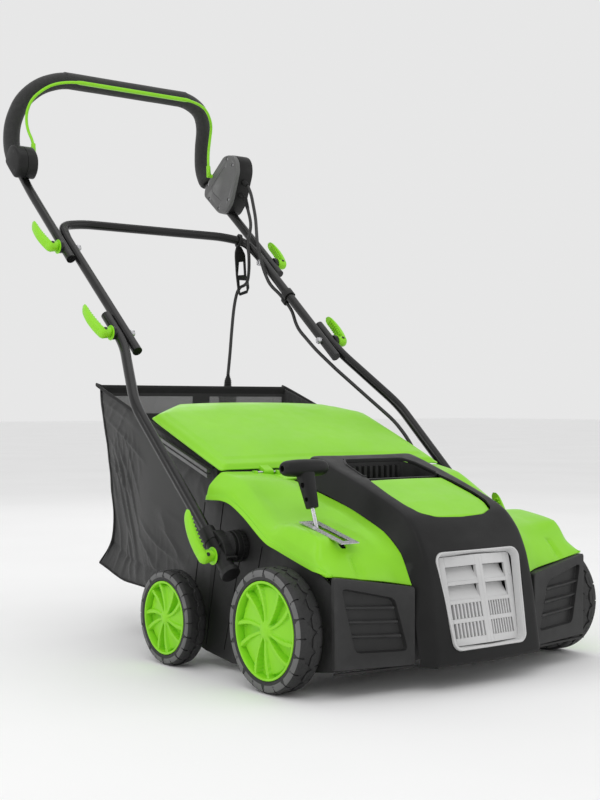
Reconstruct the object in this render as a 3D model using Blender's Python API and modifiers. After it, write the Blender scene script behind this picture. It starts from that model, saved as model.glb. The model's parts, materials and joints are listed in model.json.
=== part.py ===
"""Walk-behind electric lawn dethatcher with a folding handle and a rear grass bag.

Metres, +Z up, the machine's front faces -Y, z = 0 is the ground. Lengths are worked out from the
front axle (y = 0) and everything is moved by SHIFT_Y at the end, so that the object is centred.
"""

import bmesh
import bpy
from math import atan2, cos, hypot, pi, radians, sin
from mathutils import Matrix, Vector

# ---------------------------------------------------------------- driving dimensions
SHIFT_Y = -0.425325         # moves the front axle from y = 0 to its place in the centred frame
GAP = 0.0004                # clearance between pieces that touch

FRONT_WHEEL_R = 0.090
REAR_WHEEL_R = 0.075
FRONT_WHEEL_W = 0.0415
REAR_WHEEL_W = 0.036
WHEEL_OUTER_X = 0.309
FRONT_RIM_R = 0.0713
REAR_RIM_R = 0.0583
REAR_AXLE = (0.272, 0.075)
CRANK_PIVOT = (-0.044, 0.105)
CRANK_BAR_R = 0.006
STUB_R = 0.006

WALL_X = 0.250              # outside of the deck's side walls
WALL = 0.005
DRUM = (0.115, 0.083)       # centre of the tine drum
TINE_TIP_R = 0.070
MOTOR = (-0.030, 0.186)
MOTOR_R = 0.042
BELT_X = 0.222
BELT_W = 0.012
MOTOR_PULLEY_R = 0.014
DRUM_PULLEY_R = 0.028
SHAFT_R = 0.0070
BEARING_R = 0.020
TINE_WIRE_R = 0.0018
PULLEY_IN = BELT_X - BELT_W / 2 - 0.001
PULLEY_OUT = BELT_X + BELT_W / 2 + 0.001
SKIN = 0.0028               # thickness of the hood

HINGE = (0.2075, 0.3045)    # rear flap hinge
FLAP_SLOPE = atan2(0.108, 0.269)

TUBE_R = 0.009
HUB = (0.140, 0.197)        # handle tilt axis
HANDLE_SLOPE = radians(40.3)
MIDDLE_X = 0.2245
OUTER_X = 0.2433
LOWER_X = 0.2930
LINE_POINT = (0.710, 0.690)  # a point of the straight handle line
LEVER_UPPER_S = 0.035        # upper lever, along the line from LINE_POINT
LEVER_MIDDLE_S = -0.230      # middle lever
FOAM_R = 0.017
BAIL_AXIS = (0.928, 0.921)

PARTS = "lawn_dethatcher"


# ---------------------------------------------------------------- scene and materials
def clear_scene():
    for obj in list(bpy.data.objects):
        bpy.data.objects.remove(obj, do_unlink=True)


def new_collection(name, hidden):
    collection = bpy.data.collections.new(name)
    bpy.context.scene.collection.children.link(collection)
    collection.hide_render = hidden
    return collection


clear_scene()
parts = new_collection(PARTS, False)
cutters = new_collection("cutters", True)

COLOURS = {
    "lime": ((0.28, 0.66, 0.045), 0.35, 0.0),
    "black": ((0.022, 0.022, 0.023), 0.45, 0.0),
    "grey": ((0.10, 0.10, 0.10), 0.5, 0.0),
    "silver": ((0.62, 0.62, 0.60), 0.35, 0.9),
    "steel": ((0.42, 0.42, 0.43), 0.3, 1.0),
    "tube": ((0.015, 0.015, 0.015), 0.3, 0.0),
    "rubber": ((0.03, 0.03, 0.03), 0.8, 0.0),
    "foam": ((0.018, 0.018, 0.018), 0.95, 0.0),
    "fabric": ((0.035, 0.035, 0.035), 0.9, 0.0),
}


def paint(obj, colour):
    rgb, rough, metal = COLOURS[colour]
    material = bpy.data.materials.new(obj.name + "_material")
    material.use_nodes = True
    shader = material.node_tree.nodes["Principled BSDF"]
    shader.inputs["Base Color"].default_value = (*rgb, 1.0)
    shader.inputs["Roughness"].default_value = rough
    shader.inputs["Metallic"].default_value = metal
    obj.data.materials.clear()
    obj.data.materials.append(material)


# ---------------------------------------------------------------- building blocks
def add_mesh(name, verts, faces, colour=None, origin=(0.0, 0.0, 0.0)):
    """A mesh object from world coordinates, with its origin where asked and its faces outward."""
    base = Vector(origin)
    mesh = bpy.data.meshes.new(name)
    mesh.from_pydata([tuple(Vector(v) - base) for v in verts], [], faces)
    face_outward(mesh)
    obj = bpy.data.objects.new(name, mesh)
    obj.location = base
    (parts if colour else cutters).objects.link(obj)
    if colour:
        paint(obj, colour)
    else:
        obj.hide_render = True
        obj.display_type = "WIRE"
    return obj


def face_outward(mesh):
    work = bmesh.new()
    work.from_mesh(mesh)
    bmesh.ops.remove_doubles(work, verts=work.verts, dist=0.000001)
    bmesh.ops.recalc_face_normals(work, faces=work.faces)
    work.to_mesh(mesh)
    work.free()
    if volume(mesh) < 0:
        mesh.flip_normals()


def volume(mesh):
    total = 0.0
    for polygon in mesh.polygons:
        corners = [mesh.vertices[i].co for i in polygon.vertices]
        for a, b in zip(corners[1:-1], corners[2:]):
            total += corners[0].dot(a.cross(b))
    return total


def extrude(name, outline, low, high, colour=None, axis="X", origin=(0, 0, 0)):
    """A prism: outline points in the plane across the axis, from low to high along it."""
    place = {
        "X": lambda p, h: (h, p[0], p[1]),
        "Y": lambda p, h: (p[0], h, p[1]),
        "Z": lambda p, h: (p[0], p[1], h),
    }[axis]
    n = len(outline)
    verts = [place(p, low) for p in outline] + [place(p, high) for p in outline]
    faces = [(i, (i + 1) % n, n + (i + 1) % n, n + i) for i in range(n)]
    faces += [tuple(reversed(range(n))), tuple(range(n, 2 * n))]
    return add_mesh(name, verts, faces, colour, origin)


def box(name, low, high, colour=None, origin=(0, 0, 0)):
    (a, b, c), (d, e, f) = low, high
    return extrude(name, [(b, c), (e, c), (e, f), (b, f)], a, d, colour, "X", origin)


def circle(radius, sides, centre=(0.0, 0.0), turn=0.0):
    return [
        (centre[0] + radius * cos(turn + 2 * pi * i / sides),
         centre[1] + radius * sin(turn + 2 * pi * i / sides))
        for i in range(sides)
    ]


def rod(name, centre, radius, low, high, colour=None, sides=16, origin=(0, 0, 0), axis="X"):
    return extrude(name, circle(radius, sides, centre, pi / sides), low, high, colour, axis, origin)


def lathe(name, profile, centre, colour=None, steps=40, closed=True, turn=0.0):
    """Profile points (x, r) turned about a line along X through centre = (y, z) with Screw."""
    mesh = bpy.data.meshes.new(name)
    n = len(profile)
    edges = [(i, i + 1) for i in range(n - 1)] + ([(n - 1, 0)] if closed else [])
    mesh.from_pydata([(x, r * cos(turn), r * sin(turn)) for x, r in profile], edges, [])
    obj = bpy.data.objects.new(name, mesh)
    obj.location = (0.0, centre[0], centre[1])
    (parts if colour else cutters).objects.link(obj)
    screw = obj.modifiers.new("turn", "SCREW")
    screw.axis = "X"
    screw.steps = steps
    screw.render_steps = steps
    screw.use_merge_vertices = True
    screw.merge_threshold = 0.00001
    screw.use_normal_calculate = False
    area = sum(
        a[0] * b[1] - b[0] * a[1] for a, b in zip(profile, profile[1:] + profile[:1])
    )
    screw.use_normal_flip = area < 0
    if colour:
        paint(obj, colour)
    else:
        obj.hide_render = True
        obj.display_type = "WIRE"
    return obj


def combine(obj, other, operation):
    modifier = obj.modifiers.new(operation.lower(), "BOOLEAN")
    modifier.operation = operation
    modifier.object = other
    modifier.solver = "EXACT"
    return obj


def cut(obj, *others):
    for other in others:
        combine(obj, other, "DIFFERENCE")
    return obj


def join(obj, *others):
    for other in others:
        combine(obj, other, "UNION")
    return obj


def smooth_path(points, radius, steps=5):
    """The polyline with each inner corner rounded by an arc of about the given radius."""
    out = [Vector(points[0])]
    for a, b, c in zip(points, points[1:], points[2:]):
        a, b, c = Vector(a), Vector(b), Vector(c)
        u, v = (a - b), (c - b)
        reach = min(radius, 0.48 * u.length, 0.48 * v.length)
        p, q = b + u.normalized() * reach, b + v.normalized() * reach
        for i in range(steps + 1):
            t = i / steps
            out.append(p * (1 - t) ** 2 + b * 2 * t * (1 - t) + q * t * t)
    out.append(Vector(points[-1]))
    return out


def tube(name, points, radius, colour=None, resolution=3, origin=(0, 0, 0)):
    """A round bar along the points, from a poly curve with filled caps, then made a mesh."""
    base = Vector(origin)
    data = bpy.data.curves.new(name + "_path", "CURVE")
    data.dimensions = "3D"
    data.bevel_depth = radius
    data.bevel_resolution = resolution
    data.use_fill_caps = True
    spline = data.splines.new("POLY")
    spline.points.add(len(points) - 1)
    for point, co in zip(spline.points, points):
        co = Vector(co) - base
        point.co = (co.x, co.y, co.z, 1.0)
    source = bpy.data.objects.new(name + "_path", data)
    cutters.objects.link(source)
    source.hide_render = True
    graph = bpy.context.evaluated_depsgraph_get()
    mesh = bpy.data.meshes.new_from_object(source.evaluated_get(graph))
    bpy.data.objects.remove(source, do_unlink=True)
    face_outward(mesh)
    mesh.name = name
    obj = bpy.data.objects.new(name, mesh)
    obj.location = base
    (parts if colour else cutters).objects.link(obj)
    if colour:
        paint(obj, colour)
    else:
        obj.hide_render = True
        obj.display_type = "WIRE"
    return obj


def smooth_line(points, spacing):
    """Evenly spaced points of a smooth curve through all the given ones."""
    pts = [Vector(p) for p in points]
    pts = [pts[0] * 2 - pts[1]] + pts + [pts[-1] * 2 - pts[-2]]
    fine = []
    for a, b, c, d in zip(pts, pts[1:], pts[2:], pts[3:]):
        for k in range(12):
            t = k / 12
            fine.append(0.5 * (
                2 * b + (c - a) * t + (2 * a - 5 * b + 4 * c - d) * t * t + (3 * b - a - 3 * c + d) * t ** 3
            ))
    fine.append(pts[-2])
    out, gone = [fine[0]], 0.0
    for a, b in zip(fine, fine[1:]):
        gone += (b - a).length
        if gone >= spacing:
            out.append(b)
            gone = 0.0
    if (out[-1] - fine[-1]).length < spacing * 0.5:
        out.pop()
    return out + [fine[-1]]


def sheet(name, rows, thickness, colour=None):
    """A skin through a grid of points, thickened inward (away from +Z and from -Y)."""
    wide = len(rows[0])
    verts = [p for row in rows for p in row]
    faces = []
    for i in range(len(rows) - 1):
        for j in range(wide - 1):
            a = i * wide + j
            faces.append((a, a + 1, a + wide + 1, a + wide))
    mesh = bpy.data.meshes.new(name)
    mesh.from_pydata(verts, [], faces)
    up = sum(p.normal.z - p.normal.y for p in mesh.polygons)
    if up < 0:
        mesh.flip_normals()
    obj = bpy.data.objects.new(name, mesh)
    (parts if colour else cutters).objects.link(obj)
    solid = obj.modifiers.new("skin", "SOLIDIFY")
    solid.thickness = thickness
    solid.offset = -1.0
    solid.use_even_offset = False
    if colour:
        paint(obj, colour)
    else:
        obj.hide_render = True
        obj.display_type = "WIRE"
    return obj


def line_at(s, n=0.0):
    """(y, z) of the straight handle line, s along it upward and n across it to the front."""
    c, d = cos(HANDLE_SLOPE), sin(HANDLE_SLOPE)
    return (LINE_POINT[0] + s * c - n * d, LINE_POINT[1] + s * d + n * c)


def mirror_x(points):
    return [(-x, y, z) for x, y, z in points]


SIDES = (("left", -1), ("right", 1))


def across(sign, near, far):
    """The two x values of a piece on the side given by sign, the smaller one first."""
    return sorted((sign * near, sign * far))



# ---------------------------------------------------------------- deck (black lower housing)
deck_side = [
    (-0.0930, 0.0385), (-0.0600, 0.0330), (0.0200, 0.0220), (0.1630, 0.0123), (0.2400, 0.0225),
    (0.2980, 0.0400), (0.3050, 0.1100), (0.2940, 0.1510), (0.2520, 0.2560), (0.2100, 0.2625),
    (0.1420, 0.2625), (0.0500, 0.2060), (-0.0635, 0.1680), (-0.0930, 0.1530),
]
deck = extrude("deck_housing", deck_side, -WALL_X, WALL_X, "black")
inner = WALL_X - WALL
drum_space = [
    (-0.0880, -0.02), (-0.0880, 0.0550), (-0.0600, 0.0850), (0.0000, 0.0960), (0.0300, 0.1300),
    (0.0650, 0.1600), (0.1500, 0.1700), (0.1950, 0.2200), (0.2300, 0.2450), (0.3300, 0.2450),
    (0.3300, -0.02),
]
motor_space = [
    (-0.0885, 0.320), (-0.0885, 0.0630), (-0.0615, 0.0885), (-0.0020, 0.0995), (0.0275, 0.1325),
    (0.0640, 0.1635), (0.1485, 0.1735), (0.1920, 0.2230), (0.2200, 0.2430), (0.2200, 0.320),
]
cut(
    deck,
    extrude("drum_space", drum_space, -inner, inner),
    extrude("motor_space", motor_space, -inner, inner),
    rod("crank_hole", CRANK_PIVOT, CRANK_BAR_R + 0.0008, -0.27, 0.27),
    rod("rear_axle_hole", REAR_AXLE, STUB_R + 0.0005, -0.27, 0.27),
)
for side, sign in SIDES:
    for k in range(4):
        y0 = 0.238 - 0.052 * k
        top = 0.26 if k < 2 else 0.20
        outline = [(y0, top), (y0 + 0.003, top), (y0 + 0.053, 0.03), (y0 + 0.050, 0.03)]
        cut(deck, extrude(f"groove_{side}_{k}", outline, *across(sign, WALL_X - 0.0015, WALL_X + 0.01)))

# ---------------------------------------------------------------- front cheeks with louvres
def cheek(side, sign):
    inside, outside = 0.1240, 0.2600
    front_in, front_out = -0.1385, -0.1035
    back = -0.0936
    verts = []
    for z_in, z_out in ((0.0370, 0.0410), (0.1470, 0.1690)):
        verts += [
            (sign * inside, back, z_in), (sign * outside, back, z_out),
            (sign * outside, front_out, z_out), (sign * inside, front_in, z_in),
        ]
    faces = [(0, 1, 2, 3), (4, 5, 6, 7), (0, 1, 5, 4), (1, 2, 6, 5), (2, 3, 7, 6), (3, 0, 4, 7)]
    obj = add_mesh(f"cheek_{side}", verts, faces, "black")
    slope = (front_out - front_in) / (outside - inside)

    def plate(name, outline, deep, out):
        pts = [(sign * x, front_in + slope * (x - inside)) for x, _ in outline]
        front = [(x, y - out, z) for (x, y), (_, z) in zip(pts, outline)]
        rear = [(x, y + deep, z) for (x, y), (_, z) in zip(pts, outline)]
        n = len(outline)
        sides = [(i, (i + 1) % n, n + (i + 1) % n, n + i) for i in range(n)]
        return add_mesh(name, front + rear, sides + [tuple(range(n)), tuple(range(n, 2 * n))])

    pocket = [(0.246, 0.154), (0.160, 0.134), (0.140, 0.062), (0.222, 0.066)]
    cut(obj, plate(f"pocket_{side}", pocket, 0.0065, 0.01))
    for k in range(3):
        z = 0.078 + 0.021 * k
        x0 = 0.147 + 0.0055 * k
        slat = [
            (x0 - 0.006, z), (x0 + 0.085, z + 0.004), (x0 + 0.085, z + 0.009), (x0 - 0.006, z + 0.005),
        ]
        join(obj, plate(f"slat_{side}_{k}", slat, 0.0085, -0.0015))
    return obj


for side, sign in SIDES:
    cheek(side, sign)

# ---------------------------------------------------------------- hood (lime upper shell)
ARCH_SIDE_X = 0.1225
hood_half = [
    [(0.1228, 0.2150, 0.3000), (0.150, 0.2150, 0.3040), (0.180, 0.2150, 0.3060), (0.210, 0.2150, 0.3065),
     (0.236, 0.2150, 0.3060), (0.258, 0.2150, 0.2870), (0.2655, 0.2150, 0.2640)],
    [(0.1228, 0.1600, 0.2890), (0.150, 0.1600, 0.2930), (0.180, 0.1600, 0.2950), (0.210, 0.1600, 0.2960),
     (0.232, 0.1600, 0.2950), (0.256, 0.1600, 0.2800), (0.2655, 0.1600, 0.2635)],
    [(0.1228, 0.1150, 0.2770), (0.150, 0.1150, 0.2780), (0.180, 0.1150, 0.2710), (0.210, 0.1150, 0.2660),
     (0.235, 0.1150, 0.2670), (0.257, 0.1150, 0.2560), (0.2655, 0.1150, 0.2450)],
    [(0.1228, 0.0600, 0.2630), (0.150, 0.0600, 0.2600), (0.180, 0.0600, 0.2450), (0.210, 0.0600, 0.2380),
     (0.240, 0.0600, 0.2350), (0.258, 0.0600, 0.2260), (0.2655, 0.0600, 0.2110)],
    [(0.1228, 0.0220, 0.2520), (0.148, 0.0220, 0.2500), (0.168, 0.0220, 0.2400), (0.200, 0.0220, 0.2365),
     (0.245, 0.0220, 0.2365), (0.259, 0.0220, 0.2220), (0.2655, 0.0220, 0.1990)],
    [(0.1228, -0.0480, 0.2250), (0.145, -0.0480, 0.2230), (0.160, -0.0480, 0.2185), (0.200, -0.0480, 0.2195),
     (0.246, -0.0500, 0.2230), (0.2595, -0.0500, 0.2020), (0.2655, -0.0500, 0.1800)],
    [(0.1230, -0.0860, 0.1960), (0.145, -0.0820, 0.1960), (0.162, -0.0740, 0.1960), (0.200, -0.0650, 0.1960),
     (0.242, -0.0600, 0.1960), (0.2590, -0.0590, 0.1880), (0.2655, -0.0590, 0.1780)],
    [(0.1230, -0.1095, 0.1525), (0.145, -0.1020, 0.1565), (0.170, -0.0945, 0.1610), (0.205, -0.0840, 0.1660),
     (0.240, -0.0730, 0.1720), (0.2580, -0.0675, 0.1745), (0.2655, -0.0650, 0.1755)],
]
hood = sheet("hood", hood_half, SKIN, "lime")
hood_left = sheet("hood_left_half", [mirror_x(row) for row in hood_half], SKIN)
bridge = sheet(
    "hood_bridge",
    [
        [(-0.140, 0.2148, 0.3025), (0.0, 0.2148, 0.3045), (0.140, 0.2148, 0.3025)],
        [(-0.140, 0.1720, 0.2945), (0.0, 0.1720, 0.2955), (0.140, 0.1720, 0.2945)],
    ],
    SKIN,
)
join(hood, hood_left, bridge)
# the slot that the depth lever runs in
cut(hood, box("lever_slot", (-0.2185, -0.0700, 0.15), (-0.2055, 0.0100, 0.30)))

# ---------------------------------------------------------------- centre arch with carry handle
ridge = [
    (0.1560, 0.3180), (0.1480, 0.3306), (0.1200, 0.3240), (0.0945, 0.3157), (0.0220, 0.2913),
    (-0.0460, 0.2655), (-0.0790, 0.2484), (-0.1030, 0.2222), (-0.1200, 0.1867), (-0.1340, 0.1325),
    (-0.1420, 0.0800), (-0.1480, 0.0440), (-0.1450, 0.0350),
]
inward = [
    (0.1560, 0.2990), (0.1450, 0.3000), (0.1200, 0.2810), (0.1000, 0.2755), (0.0380, 0.2570),
    (-0.0270, 0.2340), (-0.0640, 0.2120), (-0.0870, 0.1930), (-0.1010, 0.1680), (-0.1130, 0.1250),
    (-0.1210, 0.0780), (-0.1270, 0.0460), (-0.1260, 0.0350),
]
frame_rows = []
for (y, z), (iy, iz) in zip(ridge, inward):
    bow = 0.004 if z < 0.24 else 0.001
    frame_rows.append(
        [
            (-ARCH_SIDE_X, iy, iz), (-0.1060, y, z), (-0.0920, y - 0.0008, z + 0.0008),
            (-0.045, y - bow * 0.8, z), (0.0, y - bow, z), (0.045, y - bow * 0.8, z),
            (0.0920, y - 0.0008, z + 0.0008), (0.1060, y, z), (ARCH_SIDE_X, iy, iz),
        ]
    )
arch = sheet("centre_frame", frame_rows, 0.0030, "black")
# openings: the inset panel and carry handle, and the grille
panel_outline = [
    (-0.078, 0.0440), (-0.083, 0.0200), (-0.087, -0.0200), (-0.086, -0.0520), (-0.0760, -0.0740),
    (-0.050, -0.0835), (0.0, -0.0860), (0.050, -0.0835), (0.0760, -0.0740), (0.086, -0.0520),
    (0.087, -0.0200), (0.083, 0.0200), (0.078, 0.0440),
]
carry_outline = [
    (-0.078, 0.0438), (-0.0720, 0.1000), (-0.060, 0.1180), (0.060, 0.1180), (0.0720, 0.1000), (0.078, 0.0438),
]
cut(arch, extrude("panel_opening", panel_outline, 0.205, 0.340, None, "Z"))
cut(arch, extrude("carry_opening", carry_outline, 0.270, 0.350, None, "Z"))

TILT = radians(12.9)
GRILLE = (-0.1330, 0.1262)
CELL_INSIDE = 0.0085         # from the grille's middle to its first cell
CELL_PITCH = 0.0105
CELL_WIDTH = 0.0062


def tilted(points):
    """Points (x, out, up) of the grille's own frame, out to the front and up its leaning face."""
    c, s = cos(TILT), sin(TILT)
    return [(x, GRILLE[0] - o * c + u * s, GRILLE[1] + o * s + u * c) for x, o, u in points]


def tilted_prism(name, outline, out_low, out_high, colour=None):
    n = len(outline)
    verts = tilted([(x, out_low, u) for x, u in outline] + [(x, out_high, u) for x, u in outline])
    faces = [(i, (i + 1) % n, n + (i + 1) % n, n + i) for i in range(n)]
    faces += [tuple(reversed(range(n))), tuple(range(n, 2 * n))]
    return add_mesh(name, verts, faces, colour)


def rounded(top_half, bottom_half, height, radius, steps=3):
    corners = [
        (top_half, height / 2, 0), (-top_half, height / 2, 1),
        (-bottom_half, -height / 2, 2), (bottom_half, -height / 2, 3),
    ]
    out = []
    for x, z, quarter in corners:
        sx, sz = (1 if x > 0 else -1), (1 if z > 0 else -1)
        cx, cz = x - sx * radius, z - sz * radius
        for k in range(steps + 1):
            angle = pi / 2 * (quarter + k / steps)
            out.append((cx + radius * cos(angle), cz + radius * sin(angle)))
    return out


bezel = rounded(0.0870, 0.0760, 0.1460, 0.016)
cut(arch, tilted_prism("grille_opening", [(x * 1.004, u * 1.006) for x, u in bezel], -0.03, 0.03))
grille = tilted_prism("front_grille", bezel, -0.0060, 0.0035, "silver")
inner_ring = rounded(0.0810, 0.0700, 0.1340, 0.012)
cut(grille, tilted_prism("grille_well", inner_ring, -0.02, 0.02))
vee_half = 0.0815
vee = [
    (-vee_half, -0.0060), (0.0, 0.0000), (vee_half, -0.0060), (vee_half, -0.0100), (0.0, -0.0040),
    (-vee_half, -0.0100),
]
vee_verts = tilted([(x, o, -0.0680) for x, o in vee] + [(x, o, 0.0680) for x, o in vee])
vee_faces = [(i, (i + 1) % 6, 6 + (i + 1) % 6, 6 + i) for i in range(6)]
vee_faces += [(5, 4, 3, 2, 1, 0), (6, 7, 8, 9, 10, 11)]
slats = add_mesh("grille_vee", vee_verts, vee_faces)
join(grille, slats)
# two rows of five narrow cells on each side of the middle, and two rows of one wide cell above
cells = []
for row in range(4):
    low = -0.0560 + 0.0280 * row
    for sign in (-1, 1):
        if row < 2:
            for k in range(5):
                start = CELL_INSIDE + CELL_PITCH * k
                cells.append((sign * start, sign * (start + CELL_WIDTH), low))
        else:
            cells.append((sign * CELL_INSIDE, sign * 0.0600, low))
for k, (x0, x1, low) in enumerate(cells):
    x0, x1 = sorted((x0, x1))
    window = [(x0, low), (x1, low), (x1, low + 0.0185), (x0, low + 0.0185)]
    cut(grille, tilted_prism(f"grille_cell_{k}", window, -0.03, 0.02))

# ---------------------------------------------------------------- lime inset panel
panel_rows = []
for y, half in (
    (0.0425, 0.0745), (0.0200, 0.0800), (-0.0200, 0.0835),
    (-0.0520, 0.0820), (-0.0700, 0.0740), (-0.0810, 0.0520),
):
    z = 0.2885 + (y - 0.0220) * 0.372
    if y < -0.04:
        z -= (-0.04 - y) * 0.10
    panel_rows.append(
        [(-half, y, z - 0.002), (-half * 0.5, y, z), (0.0, y, z), (half * 0.5, y, z), (half, y, z - 0.002)]
    )
sheet("inset_panel", panel_rows, 0.0030, "lime")

# ---------------------------------------------------------------- depth gate on the hood
gate = extrude(
    "depth_gate_plate",
    [(-0.0780, 0.2148), (0.0200, 0.2395), (0.0200, 0.2409), (-0.0780, 0.2162)],
    -0.2290, -0.1950, "steel",
)
cut(gate, box("gate_slot", (-0.2175, -0.0690, 0.15), (-0.2065, 0.0095, 0.30)))

# ---------------------------------------------------------------- motor, belt drive and tine drum
lathe(
    "motor_housing",
    [(-0.110, 0.0120), (-0.110, MOTOR_R), (0.100, MOTOR_R), (0.100, MOTOR_R - 0.004), (-0.104, MOTOR_R - 0.004),
     (-0.104, 0.0120)],
    MOTOR, "grey", 24,
)
lathe(
    "motor_rotor",
    [(-0.118, 0.0), (-0.118, 0.0100), (-0.098, 0.0100), (-0.098, 0.0330), (0.060, 0.0330), (0.060, 0.0060),
     (PULLEY_IN, 0.0060), (PULLEY_IN, MOTOR_PULLEY_R),
     (PULLEY_OUT, MOTOR_PULLEY_R), (PULLEY_OUT, 0.0)],
    MOTOR, "steel", 24, closed=False,
)
lathe(
    "tine_shaft",
    [(-0.238, 0.0), (-0.238, SHAFT_R), (PULLEY_IN, SHAFT_R),
     (PULLEY_IN, DRUM_PULLEY_R), (PULLEY_OUT, DRUM_PULLEY_R),
     (PULLEY_OUT, SHAFT_R), (0.238, SHAFT_R), (0.238, 0.0)],
    DRUM, "steel", 24, closed=False,
)


def belt_loop(extra):
    """Outline round both pulleys, with a gap of extra from each."""
    (my, mz), (dy, dz) = MOTOR, DRUM
    along = atan2(dz - mz, dy - my)
    span = hypot(dy - my, dz - mz)
    ra, rb = MOTOR_PULLEY_R + extra, DRUM_PULLEY_R + extra
    lean = atan2(rb - ra, span)
    points = []
    for k in range(9):
        a = along + pi / 2 + lean + (pi - 2 * lean) * k / 8
        points.append((my + ra * cos(a), mz + ra * sin(a)))
    for k in range(11):
        a = along - pi / 2 - lean + (pi + 2 * lean) * k / 10
        points.append((dy + rb * cos(a), dz + rb * sin(a)))
    return points


belt = extrude("drive_belt", belt_loop(0.0036), BELT_X - BELT_W / 2, BELT_X + BELT_W / 2, "rubber")
cut(belt, extrude("belt_inside", belt_loop(0.0008), BELT_X - 0.02, BELT_X + 0.02))
cover = extrude("belt_cover", belt_loop(0.0090), BELT_X - 0.0130, BELT_X + 0.0205, "black")
cut(cover, extrude("belt_cover_inside", belt_loop(0.0065), BELT_X - 0.0110, BELT_X + 0.0300))
cut(cover, rod("cover_hole_top", MOTOR, 0.0075, 0.19, 0.216))
cut(cover, rod("cover_hole_low", DRUM, 0.0085, 0.19, 0.216))
# the deck's roof is cut away where the belt and its cover pass through
cut(deck, extrude("belt_window", belt_loop(0.0105), BELT_X - 0.0145, BELT_X + 0.0226))

roller = lathe(
    "tine_roller",
    [(-0.200, 0.0075), (-0.200, 0.0150), (0.196, 0.0150), (0.196, 0.0075)],
    DRUM, "steel", 20,
)
for k in range(12):
    x = -0.187 + 0.034 * k
    for half in (0, 1):
        angle = radians(47 * k + 180 * half)
        points = []
        for r, lead in ((0.0130, 0.0), (0.0400, 0.02), (TINE_TIP_R, 0.14)):
            a = angle + lead
            points.append((x, DRUM[0] + r * cos(a), DRUM[1] + r * sin(a)))
        join(roller, tube(f"tine_{k}_{half}", points, TINE_WIRE_R, None, 1))

left_bearing = rod("drum_bearing_left", DRUM, BEARING_R, GAP - inner, -0.2030, "grey", 20)
cut(left_bearing, rod("bearing_bore_left", DRUM, SHAFT_R + GAP, -0.2405, 0.0))
rod("drum_bearing_right", DRUM, BEARING_R, 0.2395, inner - GAP, "grey", 20)

# ---------------------------------------------------------------- front axle, depth lever, rear axle
crank_path = [
    (-0.3010, 0.0, 0.090), (-0.2590, 0.0, 0.090), (-0.2590, CRANK_PIVOT[0], CRANK_PIVOT[1]),
    (0.2590, CRANK_PIVOT[0], CRANK_PIVOT[1]), (0.2590, 0.0, 0.090), (0.3010, 0.0, 0.090),
]
tube(
    "crank_axle", smooth_path(crank_path, 0.011, 2), CRANK_BAR_R, "steel", 3,
    (0.0, CRANK_PIVOT[0], CRANK_PIVOT[1]),
)
LEVER_X = -0.2120
lever_top = (0.0250, 0.3050)
lean = atan2(lever_top[0] - CRANK_PIVOT[0], lever_top[1] - CRANK_PIVOT[1])
foot = (CRANK_PIVOT[0] + sin(lean) * 0.0105, CRANK_PIVOT[1] + cos(lean) * 0.0105)
lever_rod = tube(
    "depth_lever_rod",
    [(LEVER_X, foot[0], foot[1]), (LEVER_X, lever_top[0], lever_top[1])],
    0.0032, "steel", 3, (LEVER_X, CRANK_PIVOT[0], CRANK_PIVOT[1]),
)
collar = rod("lever_collar", CRANK_PIVOT, 0.0115, LEVER_X - 0.006, LEVER_X + 0.006)
join(lever_rod, collar)
cut(lever_rod, rod("collar_bore", CRANK_PIVOT, CRANK_BAR_R + GAP, LEVER_X - 0.02, LEVER_X + 0.02, sides=24))


def lever_point(up, off=0.0):
    """(y, z) of a point up along the leaning lever from its top, and off to its rear."""
    c, s = cos(lean), sin(lean)
    return (lever_top[0] + up * s + off * c, lever_top[1] + up * c - off * s)


stem_verts = []
for up, half in ((-0.0470, 0.0085), (0.0080, 0.0130)):
    for dx, dn in ((-half, -half * 0.8), (half, -half * 0.8), (half, half * 0.8), (-half, half * 0.8)):
        y, z = lever_point(up, dn)
        stem_verts.append((LEVER_X + dx, y, z))
lever_grip = add_mesh(
    "depth_lever_grip", stem_verts,
    [(0, 1, 2, 3), (4, 5, 6, 7), (0, 1, 5, 4), (1, 2, 6, 5), (2, 3, 7, 6), (3, 0, 4, 7)],
    "black", (LEVER_X, CRANK_PIVOT[0], CRANK_PIVOT[1]),
)
bar_centre = lever_point(0.0150)
bar = lathe(
    "lever_bar",
    [(-0.0410, 0.0), (-0.0410, 0.0085), (-0.0370, 0.0120), (-0.0120, 0.0145), (0.0120, 0.0145),
     (0.0370, 0.0120), (0.0410, 0.0085), (0.0410, 0.0)],
    bar_centre, None, 16, closed=False,
)
bar.location.x = LEVER_X
join(lever_grip, bar)
cut(lever_grip, tube(
    "stem_bore",
    [(LEVER_X, *lever_point(-0.06)), (LEVER_X, *lever_point(0.0004))], 0.0036, None, 3,
))

rod("rear_axle", REAR_AXLE, STUB_R, -0.3010, 0.3010, "steel", 16)


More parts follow.
